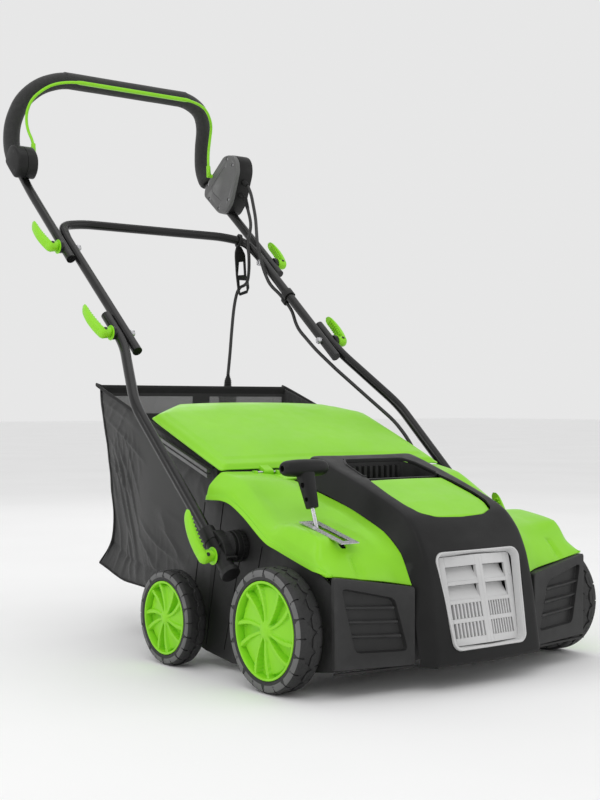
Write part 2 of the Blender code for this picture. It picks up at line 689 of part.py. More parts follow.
# ---------------------------------------------------------------- wheels
def wheel(place, side, sign, centre, radius, width, rim_radius):
    """Tyre with a flat of its polygon on the ground, and a dished rim with ten spokes."""
    steps = 32
    flat = radius / cos(pi / steps)
    turn = pi / steps
    out, inn = WHEEL_OUTER_X, WHEEL_OUTER_X - width
    x = [sign * v for v in (out - 0.0010, out, out - 0.0035, inn + 0.0035, inn, inn)]
    profile = [
        (x[0], rim_radius + GAP), (x[1], rim_radius + 0.006), (x[1], flat - 0.005), (x[2], flat),
        (x[3], flat), (x[4], flat - 0.005), (x[5], rim_radius + GAP),
    ]
    lathe(f"{place}_tyre_{side}", profile, centre, "rubber", steps, turn=turn)
    barrel = rim_radius - GAP
    face = out - 0.0020
    profile = [
        (sign * (face + 0.0005), 0.0), (sign * (face - 0.0015), 0.0120), (sign * (face - 0.0080), 0.0145),
        (sign * (face - 0.0095), barrel - 0.0040), (sign * (face + 0.0005), barrel - 0.0032),
        (sign * (face + 0.0005), barrel), (sign * (inn + 0.0010), barrel),
        (sign * (inn + 0.0010), barrel - 0.0035), (sign * (face - 0.0130), barrel - 0.0040),
        (sign * (face - 0.0130), 0.0130), (sign * (inn + 0.0020), 0.0125), (sign * (inn + 0.0020), 0.0),
    ]
    rim = lathe(f"{place}_rim_{side}", profile, centre, "lime", 24, closed=False)
    spokes_verts, spokes_faces = [], []
    for k in range(10):
        angle = 2 * pi * (k // 2) / 5 + (0.20 if k % 2 else -0.20)
        bend = 0.16 if k % 2 else -0.16
        row = []
        stations = (
            (0.0100, angle + bend * 0.5, 0.0018),
            (barrel * 0.55, angle, 0.0022),
            (barrel - 0.0015, angle + bend * 0.6, 0.0030),
        )
        for r, a, half in stations:
            ca, sa = cos(a), sin(a)
            row.append((centre[0] + r * ca + half * sa, centre[1] + r * sa - half * ca))
            row.append((centre[0] + r * ca - half * sa, centre[1] + r * sa + half * ca))
        loop = [row[0], row[2], row[4], row[5], row[3], row[1]]
        n, start = len(loop), len(spokes_verts)
        low, high = sign * (face - 0.0105), sign * (face - 0.0020)
        spokes_verts += [(low, y, z) for y, z in loop] + [(high, y, z) for y, z in loop]
        for i in range(n):
            corners = (i, (i + 1) % n, n + (i + 1) % n, n + i)
            spokes_faces.append(tuple(start + v for v in corners))
        spokes_faces += [tuple(start + i for i in reversed(range(n))), tuple(start + n + i for i in range(n))]
    spokes = add_mesh(f"{place}_spokes_{side}", spokes_verts, spokes_faces)
    join(rim, spokes)
    ends = across(sign, inn - 0.01, out - 0.0072)
    cut(rim, rod(f"{place}_bore_{side}", centre, STUB_R + 0.0006, *ends, sides=20))


for side, sign in SIDES:
    wheel("front", side, sign, (0.0, FRONT_WHEEL_R), FRONT_WHEEL_R, FRONT_WHEEL_W, FRONT_RIM_R)
    wheel("rear", side, sign, REAR_AXLE, REAR_WHEEL_R, REAR_WHEEL_W, REAR_RIM_R)

# ---------------------------------------------------------------- rear flap, its rod and spring
FLAP_ORIGIN = (0.0, HINGE[0], HINGE[1])


def on_flap(x, s, n):
    c, d = cos(FLAP_SLOPE), sin(FLAP_SLOPE)
    return (x, HINGE[0] + s * c - n * d, HINGE[1] + s * d + n * c)


flap_rows = []
for s, x_edge, x_flat, lift, drop in (
    (0.0130, 0.2360, 0.2300, 0.0060, 0.0060), (0.0500, 0.2375, 0.2250, 0.0110, 0.0080),
    (0.1300, 0.2395, 0.2200, 0.0150, 0.0080), (0.2150, 0.2410, 0.2150, 0.0160, 0.0080),
    (0.2520, 0.2130, 0.1900, 0.0130, 0.0060), (0.2850, 0.1560, 0.1480, 0.0060, 0.0010),
):
    flap_rows.append(
        [
            on_flap(-x_edge, s, lift - drop), on_flap(-x_edge + 0.0015, s, lift - 0.0035),
            on_flap(-x_flat, s, lift),
            on_flap(-x_flat * 0.55, s, lift + 0.0015), on_flap(0.0, s, lift + 0.0020),
            on_flap(x_flat * 0.55, s, lift + 0.0015), on_flap(x_flat, s, lift),
            on_flap(x_edge - 0.0015, s, lift - 0.0035), on_flap(x_edge, s, lift - drop),
        ]
    )
flap = sheet("rear_flap", flap_rows, 0.0025, "lime")
for k, x in enumerate((-0.150, 0.150)):
    eye = [
        on_flap(0, -0.0050, 0.0035), on_flap(0, 0.0090, 0.0052), on_flap(0, 0.0280, 0.0075),
        on_flap(0, 0.0280, 0.0035), on_flap(0, 0.0050, -0.0060), on_flap(0, -0.0050, -0.0060),
    ]
    join(flap, extrude(f"flap_eye_{k}", [(p[1], p[2]) for p in eye], x - 0.009, x + 0.009))
cut(flap, rod("flap_bore", HINGE, 0.0026, -0.2, 0.2, sides=16))
rod("flap_hinge_rod", HINGE, 0.0020, -0.1790, 0.1790, "steel", 12)
for k, x in enumerate((-0.176, -0.132, 0.132, 0.176)):
    outline = [(0.2000, 0.2920), (0.2120, 0.2920), (0.2125, 0.3075), (0.2010, 0.3075)]
    lug = extrude(f"hood_lug_{k}", outline, x - 0.0025, x + 0.0025)
    join(hood, lug)
cut(hood, rod("hood_lug_bore", HINGE, 0.0024, -0.2, 0.2, sides=16))
for x in (-0.150, 0.150):
    cut(hood, box(f"eye_room_{x}", (x - 0.0105, 0.1985, 0.2900), (x + 0.0105, 0.2170, 0.3150)))

COIL_R = 0.0042
coil = []
turns, per = 5, 8
for i in range(turns * per + 1):
    a = 2 * pi * i / per
    coil.append((0.020 + 0.022 * i / (turns * per), HINGE[0] + COIL_R * cos(a), HINGE[1] + COIL_R * sin(a)))
leg_on_hood = (0.018, HINGE[0] + COIL_R, HINGE[1] - 0.014)
leg_on_flap = on_flap(0.0440, 0.018, -0.0030)
tube("flap_spring", [leg_on_hood] + coil + [leg_on_flap], 0.0009, "steel", 1)
cut(hood, box("spring_room", (0.012, 0.1960, 0.2860), (0.050, 0.2170, 0.3150)))

# ---------------------------------------------------------------- handle: hubs, brackets, tubes
BRACKET_FOOT = (0.1070, 0.1613)
BRACKET_SLOPE = radians(42)
BRACKET_BOLT = (BRACKET_FOOT[0] + 0.036 * cos(BRACKET_SLOPE), BRACKET_FOOT[1] + 0.036 * sin(BRACKET_SLOPE))
BRACKET_FACE = 0.3060        # outside of the bracket's washer
TUBE_FACE = OUTER_X + 0.0120  # outside of the washers on the outer tubes
WASHER_R = 0.0125


def washer_on(name, centre, sign):
    """The washer between an outer tube and its cam lever."""
    return rod(name, centre, WASHER_R, *across(sign, OUTER_X + 0.004, TUBE_FACE), sides=20)


for side, sign in SIDES:
    hub = rod(f"pivot_hub_{side}", HUB, 0.0245, *across(sign, WALL_X + GAP, 0.2700), "black", 28)
    join(hub, rod(f"hub_step_{side}", HUB, 0.0215, *across(sign, 0.2690, 0.2735), None, 28))

    # bracket: dome over the hub, sleeve for the tube, clamp lug and end foot
    dome = lathe(
        f"tube_bracket_{side}",
        [(sign * 0.2738, 0.0), (sign * 0.2738, 0.0240), (sign * 0.2790, 0.0240), (sign * 0.2830, 0.0180),
         (sign * 0.2845, 0.0)],
        HUB, "black", 28, closed=False,
    )
    c, d = cos(BRACKET_SLOPE), sin(BRACKET_SLOPE)
    foot_y, foot_z = BRACKET_FOOT
    low = (sign * LOWER_X, foot_y, foot_z)
    up = (sign * LOWER_X, foot_y + 0.088 * c, foot_z + 0.088 * d)
    sleeve = tube(f"sleeve_{side}", [low, up], 0.0125, None, 3)
    foot_end = tube(
        f"foot_{side}",
        [(low[0], low[1] - 0.004 * c, low[2] - 0.004 * d), (low[0], low[1] + 0.004 * c, low[2] + 0.004 * d)],
        0.0150, None, 3,
    )
    web = extrude(
        f"web_{side}",
        [(0.124, 0.170), (0.150, 0.181), (0.172, 0.214), (0.150, 0.222), (0.126, 0.206), (0.118, 0.186)],
        *across(sign, 0.2760, 0.2950),
    )
    join(dome, web, sleeve, foot_end)
    bore = tube(
        f"sleeve_bore_{side}",
        [(low[0], low[1] + 0.0030 * c, low[2] + 0.0030 * d), (up[0], up[1] + 0.04 * c, up[2] + 0.04 * d)],
        TUBE_R + GAP, None, 3,
    )
    ends = across(sign, 0.2980, BRACKET_FACE)
    join(dome, rod(f"bracket_washer_{side}", BRACKET_BOLT, WASHER_R, *ends, sides=20))
    cut(dome, bore)

    # lower tube: up from the bracket, then splayed inward to the middle joint
    mid_low = line_at(-0.262)
    mid_high = line_at(-0.178)
    path = [
        (sign * LOWER_X, foot_y + 0.006 * c, foot_z + 0.006 * d), (sign * LOWER_X, 0.3867, 0.4132),
        (sign * OUTER_X, mid_low[0], mid_low[1]), (sign * OUTER_X, mid_high[0], mid_high[1]),
    ]
    lower = tube(f"lower_tube_{side}", smooth_path(path, 0.030, 2), TUBE_R, "tube", 3)
    join(lower, washer_on(f"lower_stud_{side}", line_at(LEVER_MIDDLE_S), sign))

# middle handle: an inverted U with the crossbar
end = line_at(-0.282)
corner_low = line_at(0.070)
middle_half = [
    (MIDDLE_X, end[0], end[1]), (MIDDLE_X, corner_low[0], corner_low[1]), (0.2160, 0.7960, 0.7620),
    (0.1665, 0.8070, 0.7700),
]
middle_path = smooth_path(middle_half + [(-x, y, z) for x, y, z in reversed(middle_half)], 0.034, 3)
middle = tube("middle_tube", middle_path, TUBE_R, "tube", 3)
for side, sign in SIDES:
    for label, s in (("a", LEVER_UPPER_S), ("b", LEVER_MIDDLE_S)):
        ends = across(sign, MIDDLE_X - 0.0150, MIDDLE_X - 0.004)
        join(middle, rod(f"nut_{side}_{label}", line_at(s), 0.0065, *ends, sides=12))

# upper handle with the grip loop
tail = line_at(-0.004)
grip_half = [
    (OUTER_X, tail[0], tail[1]), (OUTER_X - 0.003, 0.880, 0.8335), (0.2335, 0.9680, 0.9080),
    (0.2330, 0.9880, 0.9450), (0.2320, 0.9860, 0.9900), (0.2220, 0.9620, 1.0350), (0.1950, 0.9370, 1.0640), (0.1500, 0.9250, 1.0800),
]
grip_path = smooth_path(grip_half + [(-x, y, z) for x, y, z in reversed(grip_half)], 0.022, 1)
upper = tube("upper_tube", grip_path, TUBE_R, "tube", 3)
foam_path = [p for p in grip_path if p.z > 0.9065]
foam = tube("foam_grip", foam_path, FOAM_R, "foam", 3)
tight = tube("foam_bore", grip_path, TUBE_R + GAP, None, 3)
cut(foam, tight)
for side, sign in SIDES:
    join(upper, washer_on(f"upper_stud_{side}", line_at(LEVER_UPPER_S), sign))

# ---------------------------------------------------------------- switch box, start button, bail
CORD_X = 0.2430              # both cables leave the switch box here
switch_outline = [
    (0.8640, 0.9600), (0.8830, 0.9600), (0.9440, 0.9140), (0.9600, 0.8960), (0.9620, 0.8800), (0.9050, 0.8350),
    (0.8800, 0.8310), (0.8560, 0.8520), (0.8300, 0.9180), (0.8320, 0.9400), (0.8440, 0.9550),
]
switch = extrude("switch_box", switch_outline, 0.2200, 0.2640, "grey")
bevel = switch.modifiers.new("edges", "BEVEL")
bevel.width = 0.0022
bevel.segments = 1
bevel.limit_method = "ANGLE"
tube_gap = tube("box_bore", grip_path, TUBE_R + GAP, None, 3)
cut(switch, tube_gap)
button_at = (0.8950, 0.9080)
cut(switch, rod("button_bore", button_at, 0.0094, 0.2515, 0.2700, sides=20))
screw_spots = (
    (0.8700, 0.9530), (0.8480, 0.9350), (0.8640, 0.8620), (0.9440, 0.9050), (0.9020, 0.8470), (0.9380, 0.8720),
)
for k, spot in enumerate(screw_spots):
    cut(switch, rod(f"screw_hole_{k}", spot, 0.0026, 0.2150, 0.2225, sides=8))
for k, (y, z) in enumerate(((0.8310, 0.8950), (0.8420, 0.8680))):
    gland_line = [(CORD_X, y + 0.012, z + 0.006), (CORD_X, y - 0.008, z - 0.006)]
    join(switch, tube(f"gland_{k}", gland_line, 0.0062, None, 3))
lathe(
    "start_button",
    [(0.2568, 0.0), (0.2568, 0.0088), (0.2680, 0.0088), (0.2690, 0.0075), (0.2690, 0.0)],
    button_at, "lime", 20, closed=False,
)

pivot_outline = [
    (0.9060, 0.9300), (0.9300, 0.9360), (0.9560, 0.9050), (0.9350, 0.8850), (0.9080, 0.8620),
    (0.8880, 0.8800), (0.8860, 0.9080),
]
pivot_box = extrude("bail_pivot_box", pivot_outline, -0.2640, -0.2200, "black")
bevel = pivot_box.modifiers.new("edges", "BEVEL")
bevel.width = 0.0022
bevel.segments = 1
bevel.limit_method = "ANGLE"
cut(pivot_box, tube("pivot_bore", grip_path, TUBE_R + GAP, None, 3))
bail_half = [
    (0.2120, 0.9280, 0.9210), (0.2120, 0.9300, 0.9450), (0.2200, 0.9420, 0.9750), (0.2230, 0.9400, 1.0050),
    (0.2170, 0.9240, 1.0340), (0.1880, 0.9010, 1.0610), (0.1450, 0.8880, 1.0700),
]
bail_path = smooth_path(bail_half + [(-x, y, z) for x, y, z in reversed(bail_half)], 0.016, 1)
bail = tube("bail_bar", bail_path, 0.0030, "lime", 2, (0.0, BAIL_AXIS[0], BAIL_AXIS[1]))
grip_bar = box("bail_grip", (-0.140, 0.8820, 1.0660), (0.140, 0.8940, 1.0740))
join(bail, grip_bar)
for side, sign in SIDES:
    sleeve_line = [(sign * 0.2120, 0.9280, 0.9210), (sign * 0.2120, 0.9298, 0.9430)]
    join(bail, tube(f"bail_sleeve_{side}", sleeve_line, 0.0048, None, 2))
    join(bail, rod(f"bail_pin_{side}", BAIL_AXIS, 0.0040, *across(sign, 0.2080, 0.2300), sides=12))
cut(switch, rod("bail_bore_right", BAIL_AXIS, 0.0046, 0.2100, 0.2310, sides=16))
cut(pivot_box, rod("bail_bore_left", BAIL_AXIS, 0.0046, -0.2310, -0.2100, sides=16))

# ---------------------------------------------------------------- cam levers
def cam_lever(name, sign, x_face, centre, slope):
    """A lever that lies along the tube; x_face is the outside of its washer, centre its bolt."""
    pin = 0.0112
    profile = []
    for k in range(7):
        a = radians(180 + 30 * k)
        profile.append((0.0100 * cos(a), 0.0100 * sin(a)))
    profile += [
        (0.0200, 0.0030), (0.0380, 0.0070), (0.0600, 0.0100), (0.0760, 0.0115), (0.0780, 0.0140),
        (0.0680, 0.0180), (0.0500, 0.0205), (0.0280, 0.0200), (0.0080, 0.0160), (-0.0080, 0.0100),
    ]
    c, d = cos(slope), sin(slope)
    verts = []
    for n in (-0.0080, 0.0080):
        for t, o in profile:
            verts.append((x_face + sign * (pin + o), centre[0] + t * c - n * d, centre[1] + t * d + n * c))
    n = len(profile)
    faces = [(i, (i + 1) % n, n + (i + 1) % n, n + i) for i in range(n)]
    faces += [tuple(reversed(range(n))), tuple(range(n, 2 * n))]
    return add_mesh(name, verts, faces, "lime", (x_face + sign * pin, centre[0], centre[1]))


for side, sign in SIDES:
    cam_lever(f"cam_lever_top_{side}", sign, sign * TUBE_FACE, line_at(LEVER_UPPER_S), HANDLE_SLOPE)
    cam_lever(f"cam_lever_mid_{side}", sign, sign * TUBE_FACE, line_at(LEVER_MIDDLE_S), HANDLE_SLOPE)
    cam_lever(f"cam_lever_low_{side}", sign, sign * BRACKET_FACE, BRACKET_BOLT, radians(62))

# ---------------------------------------------------------------- cable clip, cord hook, cables
clip_s = -0.077
EYE_N = -0.0165              # the clip's eye is this far behind the tube


def along_clip(reach, n=0.0):
    """A line through the clip, along the tube, reach to each side of its middle."""
    return [(MIDDLE_X, *line_at(clip_s - reach, n)), (MIDDLE_X, *line_at(clip_s + reach, n))]


clip = tube("cable_clip", along_clip(0.008), 0.0125, "black", 3)
join(clip, tube("clip_eye", along_clip(0.007, EYE_N), 0.0065, None, 2))
cut(clip, tube("clip_bore", along_clip(0.03), TUBE_R + GAP, None, 3))
cut(clip, tube("clip_eye_bore", along_clip(0.03, EYE_N), 0.0042, None, 3))

CABLE_R = 0.0035
upper_cable = [
    (CORD_X, 0.8310 - 0.0092, 0.8950 - 0.0070), (0.2420, 0.8080, 0.8680), (0.2380, 0.7860, 0.8150),
    (0.2070, *line_at(0.060, 0.030)), (0.2050, *line_at(0.030, 0.016)), (0.2080, *line_at(0.008, 0.001)),
    (0.2120, *line_at(-0.025, -0.013)), (MIDDLE_X, *line_at(clip_s + 0.024, EYE_N)),
    (MIDDLE_X, *line_at(clip_s + 0.002, EYE_N)),
]
tube("motor_cable_upper", smooth_path(upper_cable, 0.02, 2), CABLE_R, "rubber", 1)
lower_cable = [
    (MIDDLE_X, *line_at(clip_s + 0.001, EYE_N)), (MIDDLE_X, *line_at(clip_s - 0.030, EYE_N)),
    (0.2200, *line_at(-0.150, -0.0300)), (0.2180, *line_at(-0.230, -0.0240)),
    (0.2200, *line_at(-0.300, -0.0150)), (0.2450, 0.4350, 0.4350),
    (0.2680, 0.3700, 0.3820), (0.2720, 0.3380, 0.3500), (0.2680, 0.3080, 0.3180), (0.2600, 0.2850, 0.2760),
    (0.2590, 0.2740, 0.2350),
]
tube("motor_cable_lower", smooth_path(lower_cable, 0.02, 2), CABLE_R, "rubber", 1)

RING = Vector((0.2030, 0.7989, 0.7641))
RING_AXIS = Vector((0.0495, -0.0110, -0.0080)).normalized()
hook = tube("cord_hook", [RING - RING_AXIS * 0.003, RING + RING_AXIS * 0.003], 0.0145, "black", 4, RING)
hook_outline = [
    (0.1970, 0.7515), (0.2080, 0.7515), (0.2180, 0.7350), (0.2190, 0.7250), (0.2210, 0.6900),
    (0.2260, 0.6850), (0.2290, 0.6650), (0.2240, 0.6530), (0.2060, 0.6470), (0.2010, 0.6530),
    (0.1960, 0.6900), (0.1930, 0.7300), (0.1935, 0.7400),
]
join(hook, extrude("hook_plate", hook_outline, 0.7960, 0.8000, None, "Y"))
cut(hook, tube("hook_ring_bore", [RING - RING_AXIS * 0.02, RING + RING_AXIS * 0.02], 0.0114, None, 4))
eye_outline = [(0.2020, 0.7180), (0.2150, 0.7200), (0.2170, 0.6920), (0.1995, 0.6900)]
slot_outline = [(0.2030, 0.6800), (0.2220, 0.6800), (0.2240, 0.6600), (0.2050, 0.6530)]
cut(hook, extrude("hook_eye", eye_outline, 0.78, 0.82, None, "Y"))
cut(hook, extrude("hook_slot", slot_outline, 0.78, 0.82, None, "Y"))

CORD_R = 0.0034
mains = [
    (CORD_X, 0.8420 - 0.0094, 0.8680 - 0.0068), (0.2400, 0.8170, 0.8350), (0.2280, 0.7900, 0.7980),
    (0.2080, 0.7720, 0.7560), (0.2050, 0.7640, 0.7280), (0.2070, 0.7670, 0.6980), (0.2110, 0.7780, 0.6770),
    (0.2115, 0.7900, 0.6690), (0.2100, 0.8030, 0.6650), (0.2065, 0.8110, 0.6520), (0.1990, 0.8110, 0.6200),
    (0.1900, 0.8060, 0.5730), (0.1840, 0.8030, 0.5300), (0.1795, 0.8020, 0.4950), (0.1775, 0.8020, 0.4780),
]
tube("mains_cord", smooth_line(mains, 0.015), CORD_R, "rubber", 2)
plug = tube("mains_plug", [(0.1775, 0.8020, 0.4776), (0.1765, 0.8020, 0.4540)], 0.0060, "black", 3)
plug_outline = [(0.7855, 0.4580), (0.8185, 0.4580), (0.8155, 0.4160), (0.7885, 0.4160)]
join(plug, extrude("plug_body", plug_outline, 0.1615, 0.1915))
for dy in (-0.0090, 0.0090):
    pin_low = (0.1745, 0.8020 + dy - 0.0030, 0.3990)
    pin_high = (0.1785, 0.8020 + dy + 0.0030, 0.4180)
    join(plug, box(f"plug_pin_{dy}", pin_low, pin_high))

# ---------------------------------------------------------------- grass bag
bag_outer = [
    (0.2620, 0.3120), (0.2620, 0.2640), (0.2900, 0.2000), (0.2900, 0.1020), (0.3300, 0.0930), (0.4100, 0.0890),
    (0.5600, 0.1000), (0.6370, 0.1230), (0.6500, 0.2500), (0.6500, 0.4480), (0.4700, 0.3849),
]
bag = extrude("bag_fabric", bag_outer, -0.2180, 0.2180, "fabric")
bag_inner = [
    (0.2000, 0.1062), (0.2905, 0.1062), (0.3310, 0.0972), (0.4100, 0.0932), (0.5600, 0.1042), (0.6335, 0.1262),
    (0.6460, 0.2500), (0.6460, 0.5000), (0.2000, 0.5000),
]
cut(bag, extrude("bag_room", bag_inner, -0.2140, 0.2140))
frame_path = [
    (-0.2060, 0.3130, 0.3400), (-0.2060, 0.3130, 0.1300), (-0.2060, 0.3145, 0.1080),
    (0.2060, 0.3145, 0.1080), (0.2060, 0.3130, 0.1300), (0.2060, 0.3130, 0.3400),
]
tube("bag_frame", smooth_path(frame_path, 0.02, 2), 0.0035, "steel", 1)

# ---------------------------------------------------------------- centre the whole object
for obj in bpy.data.objects:
    obj.location.y += SHIFT_Y
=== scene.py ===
"""Scene for a walk-behind electric lawn dethatcher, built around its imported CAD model.

All positions are written from the front axle (y = 0), as in the CAD source, and moved by Y0,
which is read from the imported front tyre.
"""

import json
from math import atan2, cos, exp, pi, radians, sin, sqrt

import bmesh
import bpy
import numpy as np
from mathutils import Vector, noise
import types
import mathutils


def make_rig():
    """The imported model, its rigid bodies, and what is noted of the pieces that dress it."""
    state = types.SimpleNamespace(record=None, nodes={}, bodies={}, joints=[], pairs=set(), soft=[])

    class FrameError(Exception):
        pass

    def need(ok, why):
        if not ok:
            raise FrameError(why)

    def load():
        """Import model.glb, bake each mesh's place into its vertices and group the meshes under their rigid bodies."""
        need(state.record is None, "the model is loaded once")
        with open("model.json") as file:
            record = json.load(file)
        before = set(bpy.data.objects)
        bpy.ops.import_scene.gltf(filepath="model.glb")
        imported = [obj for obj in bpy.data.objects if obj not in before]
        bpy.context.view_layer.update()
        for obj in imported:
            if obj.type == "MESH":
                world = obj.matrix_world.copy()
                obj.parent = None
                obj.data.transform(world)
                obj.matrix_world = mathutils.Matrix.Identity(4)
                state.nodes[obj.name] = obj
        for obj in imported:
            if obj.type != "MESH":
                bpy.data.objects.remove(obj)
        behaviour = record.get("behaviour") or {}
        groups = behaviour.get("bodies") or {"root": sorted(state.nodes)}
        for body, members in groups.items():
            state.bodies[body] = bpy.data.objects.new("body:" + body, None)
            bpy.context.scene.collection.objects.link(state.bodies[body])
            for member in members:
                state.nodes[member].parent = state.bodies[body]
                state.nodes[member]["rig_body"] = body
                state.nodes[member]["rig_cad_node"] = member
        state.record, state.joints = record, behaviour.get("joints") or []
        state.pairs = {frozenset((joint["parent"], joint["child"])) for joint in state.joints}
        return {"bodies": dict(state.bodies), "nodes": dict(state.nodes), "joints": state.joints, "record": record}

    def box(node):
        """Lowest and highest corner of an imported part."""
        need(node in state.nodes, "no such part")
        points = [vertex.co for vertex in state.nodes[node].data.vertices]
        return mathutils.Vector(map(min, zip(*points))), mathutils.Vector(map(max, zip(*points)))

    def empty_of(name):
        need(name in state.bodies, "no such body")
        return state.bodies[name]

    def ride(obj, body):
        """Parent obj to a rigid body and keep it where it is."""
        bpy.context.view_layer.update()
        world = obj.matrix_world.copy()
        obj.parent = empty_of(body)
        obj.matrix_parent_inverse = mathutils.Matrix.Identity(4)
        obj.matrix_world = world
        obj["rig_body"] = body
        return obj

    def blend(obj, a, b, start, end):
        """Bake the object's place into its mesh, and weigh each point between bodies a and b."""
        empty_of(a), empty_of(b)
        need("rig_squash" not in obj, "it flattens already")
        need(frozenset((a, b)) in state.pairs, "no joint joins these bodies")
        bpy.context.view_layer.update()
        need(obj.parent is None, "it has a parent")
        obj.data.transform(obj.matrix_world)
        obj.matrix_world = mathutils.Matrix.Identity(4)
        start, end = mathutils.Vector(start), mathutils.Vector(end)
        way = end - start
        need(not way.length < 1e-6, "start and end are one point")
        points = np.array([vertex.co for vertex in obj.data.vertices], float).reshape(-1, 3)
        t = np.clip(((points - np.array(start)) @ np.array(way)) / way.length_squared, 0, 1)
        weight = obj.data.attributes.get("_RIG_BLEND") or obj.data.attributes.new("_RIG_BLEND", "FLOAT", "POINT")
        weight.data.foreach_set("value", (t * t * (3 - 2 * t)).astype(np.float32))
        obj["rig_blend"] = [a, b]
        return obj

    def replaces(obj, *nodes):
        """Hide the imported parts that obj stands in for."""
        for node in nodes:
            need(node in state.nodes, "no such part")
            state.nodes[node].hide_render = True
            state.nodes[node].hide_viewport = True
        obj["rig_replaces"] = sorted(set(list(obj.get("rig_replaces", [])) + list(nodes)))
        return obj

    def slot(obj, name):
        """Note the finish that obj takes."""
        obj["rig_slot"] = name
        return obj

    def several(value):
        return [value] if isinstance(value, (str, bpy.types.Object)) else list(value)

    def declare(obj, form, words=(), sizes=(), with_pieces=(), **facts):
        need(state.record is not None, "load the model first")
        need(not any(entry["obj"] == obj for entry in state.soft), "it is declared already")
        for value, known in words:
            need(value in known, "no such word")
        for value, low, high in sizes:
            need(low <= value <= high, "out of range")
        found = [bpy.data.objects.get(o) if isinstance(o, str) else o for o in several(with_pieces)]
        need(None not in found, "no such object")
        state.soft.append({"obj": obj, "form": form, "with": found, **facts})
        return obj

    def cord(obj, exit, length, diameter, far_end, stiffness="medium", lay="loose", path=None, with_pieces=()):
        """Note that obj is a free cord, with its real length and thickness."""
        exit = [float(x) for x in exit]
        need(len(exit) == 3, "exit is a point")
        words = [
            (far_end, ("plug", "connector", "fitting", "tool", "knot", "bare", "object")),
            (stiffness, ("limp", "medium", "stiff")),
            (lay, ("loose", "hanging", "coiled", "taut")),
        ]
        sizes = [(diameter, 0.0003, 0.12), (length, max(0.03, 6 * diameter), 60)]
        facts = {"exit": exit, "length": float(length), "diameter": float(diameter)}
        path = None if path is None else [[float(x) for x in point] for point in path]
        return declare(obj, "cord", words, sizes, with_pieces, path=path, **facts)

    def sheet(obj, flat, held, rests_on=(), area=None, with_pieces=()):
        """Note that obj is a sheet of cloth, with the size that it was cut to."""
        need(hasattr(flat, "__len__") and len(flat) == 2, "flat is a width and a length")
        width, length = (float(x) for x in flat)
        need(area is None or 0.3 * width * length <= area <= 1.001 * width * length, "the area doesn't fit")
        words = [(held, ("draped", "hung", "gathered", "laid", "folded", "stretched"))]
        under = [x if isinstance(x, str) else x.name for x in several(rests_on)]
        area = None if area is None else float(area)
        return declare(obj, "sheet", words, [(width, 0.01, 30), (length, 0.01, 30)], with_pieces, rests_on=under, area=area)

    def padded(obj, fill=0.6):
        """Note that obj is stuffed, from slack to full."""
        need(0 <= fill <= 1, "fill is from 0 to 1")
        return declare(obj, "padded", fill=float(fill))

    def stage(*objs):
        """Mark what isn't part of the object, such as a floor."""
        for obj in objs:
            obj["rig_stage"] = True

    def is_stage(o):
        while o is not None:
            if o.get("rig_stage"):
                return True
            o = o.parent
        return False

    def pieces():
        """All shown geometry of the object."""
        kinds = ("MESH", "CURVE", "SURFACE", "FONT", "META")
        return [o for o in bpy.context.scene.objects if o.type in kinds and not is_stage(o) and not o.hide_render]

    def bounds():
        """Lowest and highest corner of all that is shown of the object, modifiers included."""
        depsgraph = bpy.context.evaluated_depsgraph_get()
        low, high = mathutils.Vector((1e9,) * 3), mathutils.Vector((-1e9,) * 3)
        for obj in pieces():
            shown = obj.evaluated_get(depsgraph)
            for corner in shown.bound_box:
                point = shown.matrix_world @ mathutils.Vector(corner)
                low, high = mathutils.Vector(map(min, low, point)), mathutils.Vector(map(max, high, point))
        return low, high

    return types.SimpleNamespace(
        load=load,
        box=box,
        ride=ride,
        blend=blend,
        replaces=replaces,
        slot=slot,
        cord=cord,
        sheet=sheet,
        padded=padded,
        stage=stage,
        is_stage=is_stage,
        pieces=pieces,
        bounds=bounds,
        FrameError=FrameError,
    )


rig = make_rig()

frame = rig.load()
cad_low, cad_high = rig.bounds()
nodes = frame["nodes"]

tyre_low, tyre_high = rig.box("front_tyre_left")
Y0 = (tyre_low.y + tyre_high.y) / 2          # the front axle's y
FRONT_R = (tyre_high.z - tyre_low.z) / 2
rear_low, rear_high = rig.box("rear_tyre_left")
REAR_R = (rear_high.z - rear_low.z) / 2
REAR_AXLE = ((rear_low.y + rear_high.y) / 2 - Y0, REAR_R)
TUBE_R = 0.009
CAP_R = 0.0078               # the closed ends of the handle tubes
WHEEL_OUT = 0.309            # outer face of every wheel
FOAM_R = 0.0168
HANDLE_SLOPE = radians(40.3)
LINE_POINT = (0.710, 0.690)
SIDES = (("left", -1), ("right", 1))


# ------------------------------------------------------------------ materials
def new_material(name):
    material = bpy.data.materials.new(name)
    material.use_nodes = True
    tree = material.node_tree
    shader = tree.nodes["Principled BSDF"]
    return material, tree, shader


def add(tree, kind, **values):
    node = tree.nodes.new(kind)
    for key, value in values.items():
        if hasattr(node, key):
            setattr(node, key, value)
        else:
            node.inputs[key].default_value = value
    return node


def ramp(tree, source, stops):
    node = tree.nodes.new("ShaderNodeValToRGB")
    elements = node.color_ramp.elements
    while len(elements) < len(stops):
        elements.new(0.5)
    for element, (place, colour) in zip(elements, stops):
        element.position = place
        element.color = (*colour, 1.0) if len(colour) == 3 else colour
    tree.links.new(source, node.inputs["Fac"])
    return node.outputs["Color"]


def grey(v):
    return (v, v, v)


def coordinates(tree, scale=(1, 1, 1)):
    geo = tree.nodes.new("ShaderNodeTexCoord")
    mapping = add(tree, "ShaderNodeMapping")
    mapping.inputs["Scale"].default_value = scale
    tree.links.new(geo.outputs["Object"], mapping.inputs["Vector"])
    return mapping.outputs["Vector"]


